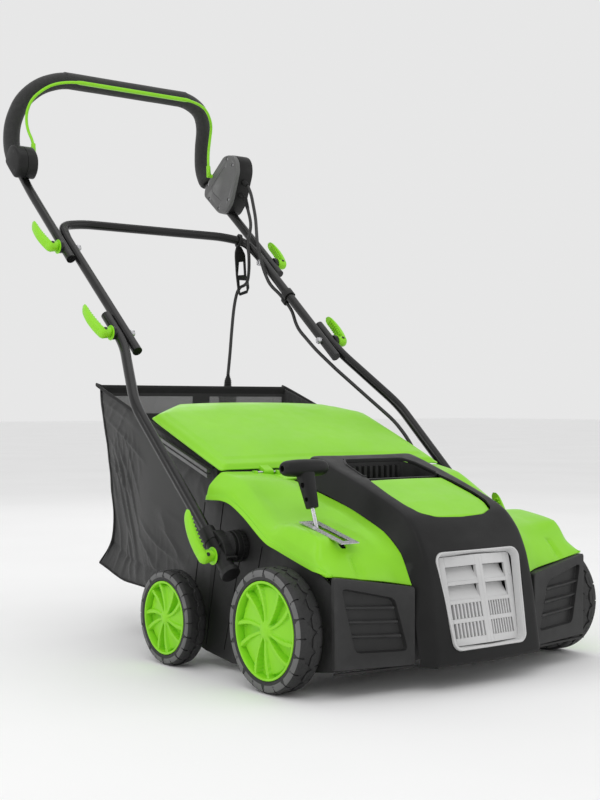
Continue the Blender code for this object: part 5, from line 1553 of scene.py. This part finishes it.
for side, sign in SIDES:
    body = Shape()
    cheek_line = [(0.1245, 0.0375), (0.2590, 0.0415), (0.2600, 0.1725), (0.1245, 0.1508)]
    line = soft_outline(cheek_line, 0.005, 3)
    small = inset_line(line, 0.0014)
    body.rings(
        [
            [(sign * x, -0.0942, z) for x, z in line], [(sign * x, front(x) + 0.0014, z) for x, z in line],
            [(sign * x, front(x), z) for x, z in small],
        ]
    )
    obj = body.build(f"cheek_shell_{side}", [SKIRT], 30)
    pocket = soft_outline([(0.2490, 0.1570), (0.1600, 0.1370), (0.1370, 0.0600), (0.2260, 0.0640)], 0.009, 5)
    deep = inset_line(pocket, 0.0022)
    cutter = Shape().rings(
        [
            [(sign * x, front(x) - 0.01, z) for x, z in pocket],
            [(sign * x, front(x) + 0.0012, z) for x, z in pocket],
            [(sign * x, front(x) + 0.0070, z) for x, z in deep],
        ]
    ).build("pocket", [BLACK])
    carve(obj, [cutter], 0.0007)
    slats = Shape()
    for k in range(3):
        z = 0.0830 + 0.0205 * k
        x0, x1 = 0.1475 + 0.0060 * k, 0.2345 + 0.0040 * k
        n = 10
        rings = []
        for j in range(n + 1):
            x = x0 + (x1 - x0) * j / n
            up = z + 0.0060 * j / n
            fade = 1 - 0.55 * (j / n)
            blade = (
                (0.0072, -0.0050), (0.0024, -0.0018), (0.0016, 0.0002), (0.0030, 0.0016 * fade),
                (0.0072, 0.0018),
            )
            rings.append([(sign * x, front(x) + dy, up + dz) for dy, dz in blade])
        slats.rings(rings)
    slats_obj = slats.build(f"cheek_slats_{side}", [SKIRT], 25)
    finish_piece(obj, "chassis", "black_plastic", [f"cheek_{side}"])
    finish_piece(slats_obj, "chassis", "black_plastic")

# lower valance along the front, under the cheeks and the arch
valance = Shape()
for sign in (-1, 1):
    rings = []
    for x, y in ((0.1230, -0.1205), (0.1600, -0.1150), (0.2100, -0.1085), (0.2590, -0.1020)):
        edge = ((0, 0.0352), (-0.0008, 0.0362), (-0.0008, 0.0385), (0.004, 0.0385), (0.004, 0.0352))
        rings.append([(sign * x, y + dy, z) for dy, z in edge])
    valance.rings(rings)
finish_piece(valance.build("valance", [BLACK], 30), "chassis", "black_plastic")

# ------------------------------------------------------------------ depth lever
LEVER_X, LEVER_TOP, CRANK_PIVOT = -0.2120, (0.0250, 0.3050), (-0.044, 0.105)
lean = atan2(LEVER_TOP[0] - CRANK_PIVOT[0], LEVER_TOP[1] - CRANK_PIVOT[1])


def lever_point(up, across=0.0):
    """(y, z) of a point up along the leaning lever from its top, and across to its rear."""
    return (
        LEVER_TOP[0] + up * sin(lean) + across * cos(lean),
        LEVER_TOP[1] + up * cos(lean) - across * sin(lean),
    )


grip = Shape()
rings = []
for up, hx, hn in (
    (-0.0470, 0.0078, 0.0062), (-0.0466, 0.0086, 0.0070), (-0.0450, 0.0090, 0.0074),
    (-0.0200, 0.0108, 0.0090), (0.0040, 0.0130, 0.0108), (0.0100, 0.0135, 0.0110),
):
    ring = []
    for q in range(32):
        a = 2 * pi * q / 32
        ring.append((LEVER_X + hx * squared(cos(a), 0.55), *lever_point(up, hn * squared(sin(a), 0.55))))
    rings.append(ring)
grip.rings(rings)
stem_obj = grip.build("lever_stem", [BLACK], 35)
cuts = []
for up, r in ((-0.0120, 0.0042), (-0.0340, 0.0034)):
    at = lever_point(up, -0.0020)
    half = 0.0100 + (up + 0.0470) * 0.07
    cuts.append(round_hole([(LEVER_X - 0.030, r), (LEVER_X - half + 0.0050, r)], at))
carve(stem_obj, cuts, 0.0006)
finish_piece(stem_obj, "front_axle", "black_plastic")
half_bar = [(0.0410, 0.0010), (0.0410, 0.0066), (0.0404, 0.0082), (0.0390, 0.0098), (0.0360, 0.0116),
            (0.0300, 0.0129), (0.0200, 0.0138), (0.0100, 0.0142)]
profile = [(-x, r) for x, r in half_bar] + [(0.0, 0.0143)] + half_bar[::-1]
bar_at = lever_point(0.0150)
turns = [2 * pi * k / 40 for k in range(40)]
knob = Shape().rings(
    [
        [(LEVER_X + x, bar_at[0] + r * cos(a), bar_at[1] + 0.93 * r * sin(a)) for a in turns]
        for x, r in profile
    ]
)
knob_obj = knob.build("lever_knob", [BLACK], 40)
carve(knob_obj, [round_hole([(LEVER_X - 0.060, 0.0046), (LEVER_X - 0.0330, 0.0046)], bar_at)], 0.0007, 40)
finish_piece(knob_obj, "front_axle", "black_plastic", ["depth_lever_grip"])

# ------------------------------------------------------------------ switch box, button, pivot box and bail
SWITCH = [
    (0.8640, 0.9600), (0.8830, 0.9600), (0.9440, 0.9140), (0.9600, 0.8960), (0.9620, 0.8800),
    (0.9050, 0.8350), (0.8800, 0.8310), (0.8560, 0.8520), (0.8300, 0.9180), (0.8320, 0.9400),
    (0.8440, 0.9550),
]
SCREWS = [
    (0.8700, 0.9510), (0.8480, 0.9350), (0.8640, 0.8620), (0.9440, 0.9050), (0.9020, 0.8470),
    (0.9380, 0.8720),
]


BUTTON_AT = (0.8950, 0.9080)
GLANDS = ((0.8310, 0.8950), (0.8420, 0.8680))
CORD_X = 0.2430              # both cables leave the switch box here


def box_line(points, radius, by=0.0):
    line = soft_outline(points, radius)
    return inset_line(line, by) if by else line


def box_rings(points, radius, levels):
    """Rings (x, inset) of a flat box with rounded corners."""
    return [[(x, y, z) for y, z in box_line(points, radius, by)] for x, by in levels]


body = Shape()
levels = [
    (0.2296, 0.0020), (0.2300, 0.0006), (0.2312, 0.0002), (0.2600, 0.0002), (0.2624, 0.0008),
    (0.2636, 0.0022), (0.2640, 0.0040),
]
body.rings(box_rings(SWITCH, 0.011, levels))
shell = body.build("switch_body", [BLACK], 40)
carve(shell, [round_hole([(0.2580, 0.0094), (0.2700, 0.0094)], BUTTON_AT, 32, BLACK)], 0.0005)
finish_piece(shell, "upper_handle", "grey_plastic", ["switch_box"])
cover = Shape()
levels = [
    (0.2294, 0.0012), (0.2290, 0.0008), (0.2232, 0.0010), (0.2212, 0.0020), (0.2202, 0.0040),
    (0.2200, 0.0060),
]
cover.rings(box_rings(SWITCH, 0.011, levels))
cover_obj = cover.build("switch_cover", [GREY], 40)
wells = [round_hole([(0.2150, 0.0041), (0.2222, 0.0038)], spot, 24, GREY) for spot in SCREWS]
# a long shallow dish in the cover, where the label would be
dish = box_line(
    [(0.8740, 0.9400), (0.9320, 0.8980), (0.9240, 0.8820), (0.8860, 0.8560), (0.8620, 0.9060)], 0.012,
)
dish_floor = inset_line(dish, 0.0010)
dish_rings = [[(x, y, z) for y, z in line] for x, line in ((0.2150, dish), (0.2206, dish_floor))]
wells.append(Shape().rings(dish_rings).build("hole", [GREY]))
carve(cover_obj, wells, 0.0004)
finish_piece(cover_obj, "upper_handle", "grey_plastic")
SCREW_SLOT = ((-0.0018, -0.0003), (0.0018, -0.0003), (0.0018, 0.0003), (-0.0018, 0.0003))
heads = Shape()
for spot in SCREWS:
    heads.rings(
        revolve([(0.2226, 0.0030), (0.2216, 0.0030), (0.2210, 0.0024), (0.2208, 0.0010)], spot, 24), 0,
    )
    # each head's cross is a thin dark plate, in the second slot: painted shade in the recess
    for turn in (0.4, 0.4 + pi / 2):
        c, s = cos(turn), sin(turn)
        line = [(spot[0] + a * c - b * s, spot[1] + a * s + b * c) for a, b in SCREW_SLOT]
        heads.rings([[(x, y, z) for y, z in line] for x in (0.2212, 0.2207)], 1)
finish_piece(heads.build("switch_screws", [ZINC, DARK_AND_SHADE], 40), "upper_handle", "steel")
# cord glands with ribs
gland = Shape()
for y, z in GLANDS:
    a, b = Vector((CORD_X, y + 0.010, z + 0.0052)), Vector((CORD_X, y - 0.0080, z - 0.0060))
    radii, line = [], []
    for k in range(25):
        t = k / 24
        line.append(a.lerp(b, t))
        radii.append(0.0060 - 0.0012 * t - (0.0007 if k % 4 in (1, 2) and k > 6 else 0.0))
    gland.rings(tube_rings(line, radii, 24))
finish_piece(gland.build("cord_glands", [BLACK], 40), "upper_handle", "black_plastic")
button = Shape().rings(
    revolve(
        [
            (0.2570, 0.0030), (0.2570, 0.0086), (0.2668, 0.0086), (0.2680, 0.0080), (0.2686, 0.0066),
            (0.2682, 0.0040), (0.2680, 0.0002),
        ],
        BUTTON_AT, 48,
    )
)
finish_piece(button.build("button_cap", [LIME_BRIGHT], 40), "button", "lime_plastic", ["start_button"])

PIVOT = [
    (0.9060, 0.9300), (0.9300, 0.9360), (0.9560, 0.9050), (0.9350, 0.8850), (0.9080, 0.8620),
    (0.8880, 0.8800), (0.8860, 0.9080),
]
pod = Shape()
levels = [
    (-0.2202, 0.0050), (-0.2206, 0.0028), (-0.2218, 0.0012), (-0.2240, 0.0004), (-0.2424, 0.0002),
    (-0.2428, 0.0010), (-0.2436, 0.0010), (-0.2440, 0.0002), (-0.2600, 0.0004), (-0.2622, 0.0012),
    (-0.2634, 0.0028), (-0.2640, 0.0050),
]
pod.rings(box_rings(PIVOT, 0.013, levels))
for x0, x1 in ((-0.2642, -0.2630), (-0.2198, -0.2210)):
    for spot in ((0.9120, 0.9180), (0.9360, 0.9060), (0.9080, 0.8800)):
        pod.rings(revolve([(x1, 0.0036), (x0 * 0.9999, 0.0030), (x0, 0.0012)], spot, 20), 1)
finish_piece(pod.build("pivot_pod", [BLACK, DARK_AND_SHADE], 40), "upper_handle", "black_plastic", ["bail_pivot_box"])

bail_half = [
    (0.2120, 0.9280, 0.9210), (0.2120, 0.9300, 0.9450), (0.2200, 0.9420, 0.9750), (0.2230, 0.9400, 1.0050),
    (0.2170, 0.9240, 1.0340), (0.1880, 0.9010, 1.0610), (0.1450, 0.8880, 1.0700),
]
line = even(bend_path(bail_half + mirror(reversed(bail_half)), 0.022, 6), 0.005)
bail = Shape().rings(tube_rings(line, 0.0029, 20))
# the flattened bar under the grip, rounded like a leaf
rings = []
for k in range(41):
    t = k / 40
    x = -0.1400 + 0.2800 * t
    e = min(t, 1 - t) * 2
    wide = 0.0060 * smoothstep(-0.05, 0.10, e)
    thick = 0.0038 * smoothstep(-0.10, 0.10, e)
    ring = []
    for q in range(20):
        a = 2 * pi * q / 20
        ring.append((x, 0.8880 + wide * squared(cos(a), 0.6), 1.0700 + thick * squared(sin(a), 0.7)))
    rings.append(ring)
bail.rings(rings)
for side, sign in SIDES:
    sleeve = [
        (sign * 0.2120, y, z)
        for y, z in ((0.9280, 0.9200), (0.9281, 0.9212), (0.9297, 0.9420), (0.9298, 0.9430))
    ]
    bail.rings(tube_rings(sleeve, [0.0040, 0.0048, 0.0046, 0.0036], 20))
    pin = [(sign * 0.2080, 0.0034), (sign * 0.2086, 0.0040), (sign * 0.2290, 0.0040)]
    bail.rings(revolve(pin, (0.9280, 0.9210), 24))
finish_piece(bail.build("bail_wire", [LIME_BRIGHT], 45), "bail", "lime_metal", ["bail_bar"])

# ------------------------------------------------------------------ cables
CABLE_R, CORD_R = 0.0035, 0.0034
upper_cable = [
    (0.2430, 0.8218, 0.8880), (0.2420, 0.8080, 0.8680), (0.2380, 0.7860, 0.8150),
    (0.2070, *line_at(0.060, 0.030)), (0.2050, *line_at(0.030, 0.016)), (0.2080, *line_at(0.008, 0.001)),
    (0.2120, *line_at(-0.025, -0.013)), (MIDDLE_X, *line_at(-0.053, -0.0165)),
    (MIDDLE_X, *line_at(-0.0755, -0.0165)),
]
lower_cable = [
    (MIDDLE_X, *line_at(-0.076, -0.0165)), (MIDDLE_X, *line_at(-0.107, -0.0165)),
    (0.2200, *line_at(-0.150, -0.0300)), (0.2180, *line_at(-0.230, -0.0240)),
    (0.2200, *line_at(-0.300, -0.0150)), (0.2450, 0.4350, 0.4350), (0.2680, 0.3700, 0.3820),
    (0.2720, 0.3380, 0.3500), (0.2680, 0.3080, 0.3180), (0.2600, 0.2850, 0.2760), (0.2590, 0.2740, 0.2350),
]


def placed(points):
    return [Vector((p[0], p[1] + Y0, p[2])) for p in points]


def spot(x, y, z):
    """One place of the frame, as a plain triple."""
    return tuple(placed([(x, y, z)])[0])


def length_of(points):
    return sum((Vector(b) - Vector(a)).length for a, b in zip(points, points[1:]))


def flex(name, points, radius, far_end):
    """A round cable swept along its route and declared as a free cord of its own length."""
    line = even(bend_path(points, 0.020, 8), 0.004)
    obj = tube(name, line, radius, CABLE, 18, 0.0006)
    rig.slot(obj, "rubber")
    at = placed(line)
    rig.cord(
        obj, tuple(at[0]), length_of(at), 2 * radius, far_end, "medium", "loose",
        path=[tuple(p) for p in at],
    )
    return obj


top_cable = flex("cable_upper", upper_cable, CABLE_R, "object")
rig.replaces(top_cable, "motor_cable_upper")
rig.blend(
    top_cable, "upper_handle", "middle_handle", spot(0.2240, *line_at(0.120)),
    spot(0.2240, *line_at(-0.020)),
)
mid_cable = flex("cable_middle", lower_cable[:5], CABLE_R, "object")
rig.replaces(mid_cable, "motor_cable_lower")
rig.blend(
    mid_cable, "middle_handle", "lower_handle", spot(0.2240, *line_at(-0.150)),
    spot(0.2240, *line_at(-0.290)),
)
low_cable = flex("cable_lower", lower_cable[4:], CABLE_R, "object")
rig.blend(low_cable, "lower_handle", "chassis", spot(0.2450, 0.4350, 0.4350), spot(0.2600, 0.2800, 0.2600))

# mains pigtail through the hook to its plug
mains = [
    (0.2430, 0.8326, 0.8612), (0.2400, 0.8170, 0.8350), (0.2280, 0.7900, 0.7980), (0.2080, 0.7720, 0.7560),
    (0.2050, 0.7640, 0.7280), (0.2070, 0.7670, 0.6980), (0.2110, 0.7780, 0.6770), (0.2115, 0.7900, 0.6690),
    (0.2100, 0.8030, 0.6650), (0.2065, 0.8110, 0.6520), (0.1990, 0.8110, 0.6200), (0.1900, 0.8060, 0.5730),
    (0.1840, 0.8030, 0.5300), (0.1795, 0.8020, 0.4950), (0.1775, 0.8020, 0.4780),
]
cord_line = even(spline(mains, 10), 0.003)
cord = tube("mains_pigtail", cord_line, CORD_R, CABLE, 18, 0.0006)
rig.slot(cord, "rubber")
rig.replaces(cord, "mains_cord")
relief = Shape()
line = cord_line[:10]
fine_line, fine_r = [], []
for k in range(37):
    t = k / 36 * (len(line) - 1)
    i = min(int(t), len(line) - 2)
    fine_line.append(line[i].lerp(line[i + 1], t - i))
    fine_r.append(0.0056 - 0.0018 * k / 36 - (0.0006 if k % 4 in (2, 3) else 0))
relief.rings(tube_rings(fine_line, fine_r, 22))
relief_obj = relief.build("cord_relief", [BLACK], 35)
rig.slot(relief_obj, "rubber")
plug = Shape()
outline = [(0.7870, 0.4500), (0.8170, 0.4500), (0.8150, 0.4162), (0.7890, 0.4162)]
levels = (
    (0.1615, 0.0034), (0.1622, 0.0014), (0.1640, 0.0), (0.1890, 0.0), (0.1908, 0.0014), (0.1915, 0.0034),
)
plug.rings(box_rings(outline, 0.009, levels))
for k in range(4):
    z = 0.4260 + 0.0058 * k
    for x0, x1 in ((0.1618, 0.1609), (0.1912, 0.1921)):
        ridge_line = ((0.7925, z), (0.8115, z), (0.8105, z + 0.0026), (0.7935, z + 0.0026))
        plug.rings([[(x, *p) for p in ridge_line] for x in (x0, x1)])
tail, radii = [], []
for k in range(33):
    t = k / 32
    tail.append(Vector((0.1765 + 0.0010 * t + 0.0004 * t * t, 0.8020, 0.4470 + 0.0310 * t)))
    groove = 0.0009 if k % 4 in (1, 2) and k > 5 else 0
    radii.append(0.0088 - 0.0020 * t - 0.0029 * smoothstep(0.55, 1.0, t) - groove)
plug.rings(tube_rings(tail, radii, 22))
for dy in (-0.0090, 0.0090):
    plug.box((0.1747, 0.8020 + dy - 0.0030, 0.3992), (0.1783, 0.8020 + dy + 0.0030, 0.4180), 1)
plug_obj = plug.build("plug_moulding", [BLACK, STEEL], 35)
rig.slot(plug_obj, "black_plastic")
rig.replaces(plug_obj, "mains_plug")
at = placed(cord_line)
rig.cord(
    cord, tuple(at[0]), length_of(at), 2 * CORD_R, "plug", "medium", "hanging", path=[tuple(p) for p in at],
    with_pieces=[plug_obj, relief_obj],
)
for obj in (cord, relief_obj):
    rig.blend(obj, "upper_handle", "middle_handle", spot(0.2420, 0.8280, 0.8560), spot(0.2080, 0.7720, 0.7560))
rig.ride(plug_obj, "middle_handle")

# ------------------------------------------------------------------ grass bag
FRONT_EDGE = [(0.2900, 0.1020), (0.2900, 0.2000), (0.2620, 0.2640), (0.2620, 0.3120)]
REAR_EDGE = [(0.6370, 0.1230), (0.6500, 0.2500), (0.6500, 0.4480)]
BOTTOM = [(0.2900, 0.1020), (0.3300, 0.0930), (0.4100, 0.0890), (0.5600, 0.1000), (0.6370, 0.1230)]
TOP = [(0.2620, 0.3120), (0.4700, 0.3849), (0.6500, 0.4480)]
BAG_X = 0.2165


def along(line, t):
    """The point a share t along a polyline of (y, z)."""
    pts = [Vector(p) for p in line]
    lengths = [0.0]
    for a, b in zip(pts, pts[1:]):
        lengths.append(lengths[-1] + (b - a).length)
    d = t * lengths[-1]
    for a, b, la, lb in zip(pts, pts[1:], lengths, lengths[1:]):
        if d <= lb + 1e-9:
            return a.lerp(b, (d - la) / (lb - la))
    return pts[-1]


def patch(u, v):
    """A point (y, z) of the side's outline filled in, u to the rear and v up."""
    b, t, f, r = along(BOTTOM, u), along(TOP, u), along(FRONT_EDGE, v), along(REAR_EDGE, v)
    low = Vector(BOTTOM[0]) * (1 - u) * (1 - v) + Vector(BOTTOM[-1]) * u * (1 - v)
    corners = low + Vector(TOP[0]) * (1 - u) * v + Vector(TOP[-1]) * u * v
    return b * (1 - v) + t * v + f * (1 - u) + r * u - corners


def ripple(a, b, seed):
    """Creases of slack cloth: long, slanted, uneven, with sharper crests than valleys."""
    total = 0.0
    for angle, wave, size, k in (
        (1.15, 38.0, 1.0, 0.0), (0.45, 27.0, 0.8, 7.1), (-0.75, 33.0, 0.6, 3.3), (1.5, 60.0, 0.35, 5.0),
    ):
        c, s = cos(angle), sin(angle)
        p, q = a * c + b * s, -a * s + b * c
        n = noise.noise(Vector((p * wave * 0.16, q * wave, seed + k)))
        ridge_value = 1 - abs(n) * 2.2
        gate = smoothstep(-0.05, 0.35, noise.noise(Vector((a * 6.0, b * 6.0, seed + k * 2 + 11))))
        total += size * (ridge_value ** 3 if ridge_value > 0 else 0.0) * gate
    return total


def cloth_panel(name, place, nu, nv, materials, pick=None):
    """A sheet from place(u, v), with its own small thickness."""
    verts = [tuple(place(i / nu, j / nv)) for i in range(nu + 1) for j in range(nv + 1)]
    m = nv + 1
    faces = [
        (i * m + j, (i + 1) * m + j, (i + 1) * m + j + 1, i * m + j + 1) for i in range(nu)
        for j in range(nv)
    ]
    slots = [pick(i / nu, j / nv) if pick else 0 for i in range(nu) for j in range(nv)]
    obj = make(name, verts, faces, materials[0], 80, materials[1:], slots, outward=False)
    solid = obj.modifiers.new("cloth", "SOLIDIFY")
    solid.thickness = 0.0012
    solid.offset = 0.0
    return finish_piece(obj, "grass_bag", "bag_cloth")


def pinch(v):
    """How far the slack rear corners are drawn in, most at a third of their height."""
    return sin(pi * min(1.0, max(0.0, v)) ** 0.6) ** 1.2


SIDE_PLACES = {}
for side, sign in SIDES:
    def side_place(u, v, sign=sign, seed=2.0 if side == "left" else 9.0):
        p = patch(u, v)
        hold = min(1.0, 6 * min(u, 1 - u, v, 1 - v + 0.02))
        slack = 0.0046 * ripple(p.x, p.y, seed) * (0.25 + 0.75 * hold)
        belly = 0.0060 * sin(pi * u) * sin(pi * min(1, v * 1.02))
        belly += 0.0035 * noise.noise(Vector((p.x * 9, p.y * 9, seed)))
        flare = 0.0090 * exp(-(v / 0.10) ** 2) * smoothstep(0.35, 1.0, u)
        crease = -0.0030 * exp(-((v - 0.115) / 0.018) ** 2) * smoothstep(0.05, 0.5, u)
        out = BAG_X - 0.0050 + belly * 0.8 + slack + flare + crease
        drawn = pinch(v) * smoothstep(0.45, 1.0, u)
        return (sign * (out - 0.020 * drawn), p.x - 0.012 * drawn, p.y)

    SIDE_PLACES[side] = side_place
    panel = cloth_panel(f"bag_side_{side}", side_place, 120, 96, [CLOTH_SIDE])
    if side == "left":
        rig.replaces(panel, "bag_fabric")
    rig.sheet(panel, flat=(0.400, 0.350), held="stretched", rests_on=["bag_frame"], area=0.400 * 0.350 * 0.75)


def rear_place(u, v):
    p = along(REAR_EDGE, v)
    x = -BAG_X + 0.0005 + (2 * BAG_X - 0.001) * u
    hold = min(1.0, 6 * min(u, 1 - u, v + 0.1, 1 - v))
    y = p.x - 0.0045 + 0.0042 * ripple(x, p.y, 5.5) * hold + 0.0055 * sin(pi * u) * sin(pi * v)
    drawn = pinch(v) * abs(2 * u - 1) ** 3
    flare = 0.0040 * exp(-(v / 0.10) ** 2)
    return (
        x * (1 - 0.092 * drawn) + (flare if x > 0 else -flare) * abs(2 * u - 1),
        min(y, 0.6560) - 0.012 * drawn, p.y,
    )


def rear_pick(u, v):
    if v > 0.955:
        return 2
    if 0.845 < v < 0.945 and not 0.47 < u < 0.56 and 0.03 < u < 0.97:
        return 1
    return 0


rear = cloth_panel("bag_rear", rear_place, 110, 110, [CLOTH_BACK, MESH_CLOTH, BAND], rear_pick)
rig.sheet(rear, flat=(0.436, 0.330), held="stretched", rests_on=["bag_frame"])


def low_place(u, v):
    p = along(BOTTOM, u)
    x = -BAG_X + 2 * BAG_X * v
    sag = 0.0035 * sin(pi * v) * sin(pi * u)
    return (x, p.x, p.y + 0.0010 - sag * 0.6 + 0.0022 * ripple(x, p.x, 3.0))


floor_panel = cloth_panel("bag_bottom", low_place, 80, 90, [CLOTH_LOW])
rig.sheet(floor_panel, flat=(0.436, 0.360), held="stretched", rests_on=["bag_frame"])

# binding round the rim and down the seams
binding = Shape()


def strip(points, radius=0.0030):
    """A round binding along the points."""
    binding.rings(tube_rings(even(spline(points, 6), 0.006), radius, 12))


rim = [
    (-BAG_X, 0.2640, 0.3125), (-BAG_X - 0.0005, 0.4700, 0.3849), (-BAG_X - 0.0010, 0.6460, 0.4470),
    (-BAG_X + 0.006, 0.6500, 0.4480),
]
strip(rim)
strip(mirror(rim))
strip([(-BAG_X + 0.004, 0.6500, 0.4480), (0.0, 0.6505, 0.4478), (BAG_X - 0.004, 0.6500, 0.4480)])
for side, sign in SIDES:
    place = SIDE_PLACES[side]
    strip([place(1.0, t / 12) for t in range(13)], 0.0020)
    strip([place(t / 12, 0.0) for t in range(13)], 0.0020)
binding_obj = binding.build("bag_binding", [BAND], 60)
finish_piece(binding_obj, "grass_bag", "bag_cloth")
# rails under the flap's edges that carry the bag
RAIL = ((-0.0035, -0.0028), (0.0035, -0.0028), (0.0040, -0.0018), (0.0040, 0.0018), (0.0035, 0.0028),
        (-0.0035, 0.0028))
rails = Shape()
for side, sign in SIDES:
    for off in (0.0, 0.0085):
        a, b = Vector((sign * 0.2235, 0.2700, 0.3060 - off)), Vector((sign * 0.2235, 0.4300, 0.3600 - off))
        rings = []
        for t in (0.0, 1.0):
            p = a.lerp(b, t)
            rings.append([(p.x + dx, p.y, p.z + dz) for dx, dz in RAIL])
        rails.rings(rings)
finish_piece(rails.build("bag_rails", [GREY], 30), "grass_bag", "steel")

# ------------------------------------------------------------------ CAD nodes kept, with their materials
for name, material, bevel, angle in (
    ("deck_housing", SKIRT, 0.0, 30), ("belt_cover", BLACK, 0.0008, 35), ("bag_frame", ROD_STEEL, 0.0, 50),
    ("cord_hook", BLACK, 0.0006, 40), ("cable_clip", BLACK, 0.0006, 45),
    ("depth_gate_plate", ZINC, 0.0, 35), ("depth_lever_rod", ROD_STEEL, 0.0, 50),
    ("motor_housing", MOTOR_CASE, 0.001, 40), ("motor_rotor", STEEL, 0.0, 40),
    ("tine_shaft", STEEL, 0.0, 40), ("tine_roller", STEEL, 0.0, 45), ("drive_belt", TREAD, 0.0, 40),
    ("drum_bearing_left", MOTOR_CASE, 0.0, 40), ("drum_bearing_right", MOTOR_CASE, 0.0, 40),
    ("crank_axle", ZINC, 0.0, 45), ("rear_axle", ZINC, 0.0, 45),
):
    paint(name, material, bevel, angle)

# ------------------------------------------------------------------ sizes, then the end
now_low, now_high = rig.bounds()
with open("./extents.json", "w") as out:
    json.dump({"cad": [list(cad_low), list(cad_high)], "visual": [list(now_low), list(now_high)]}, out)
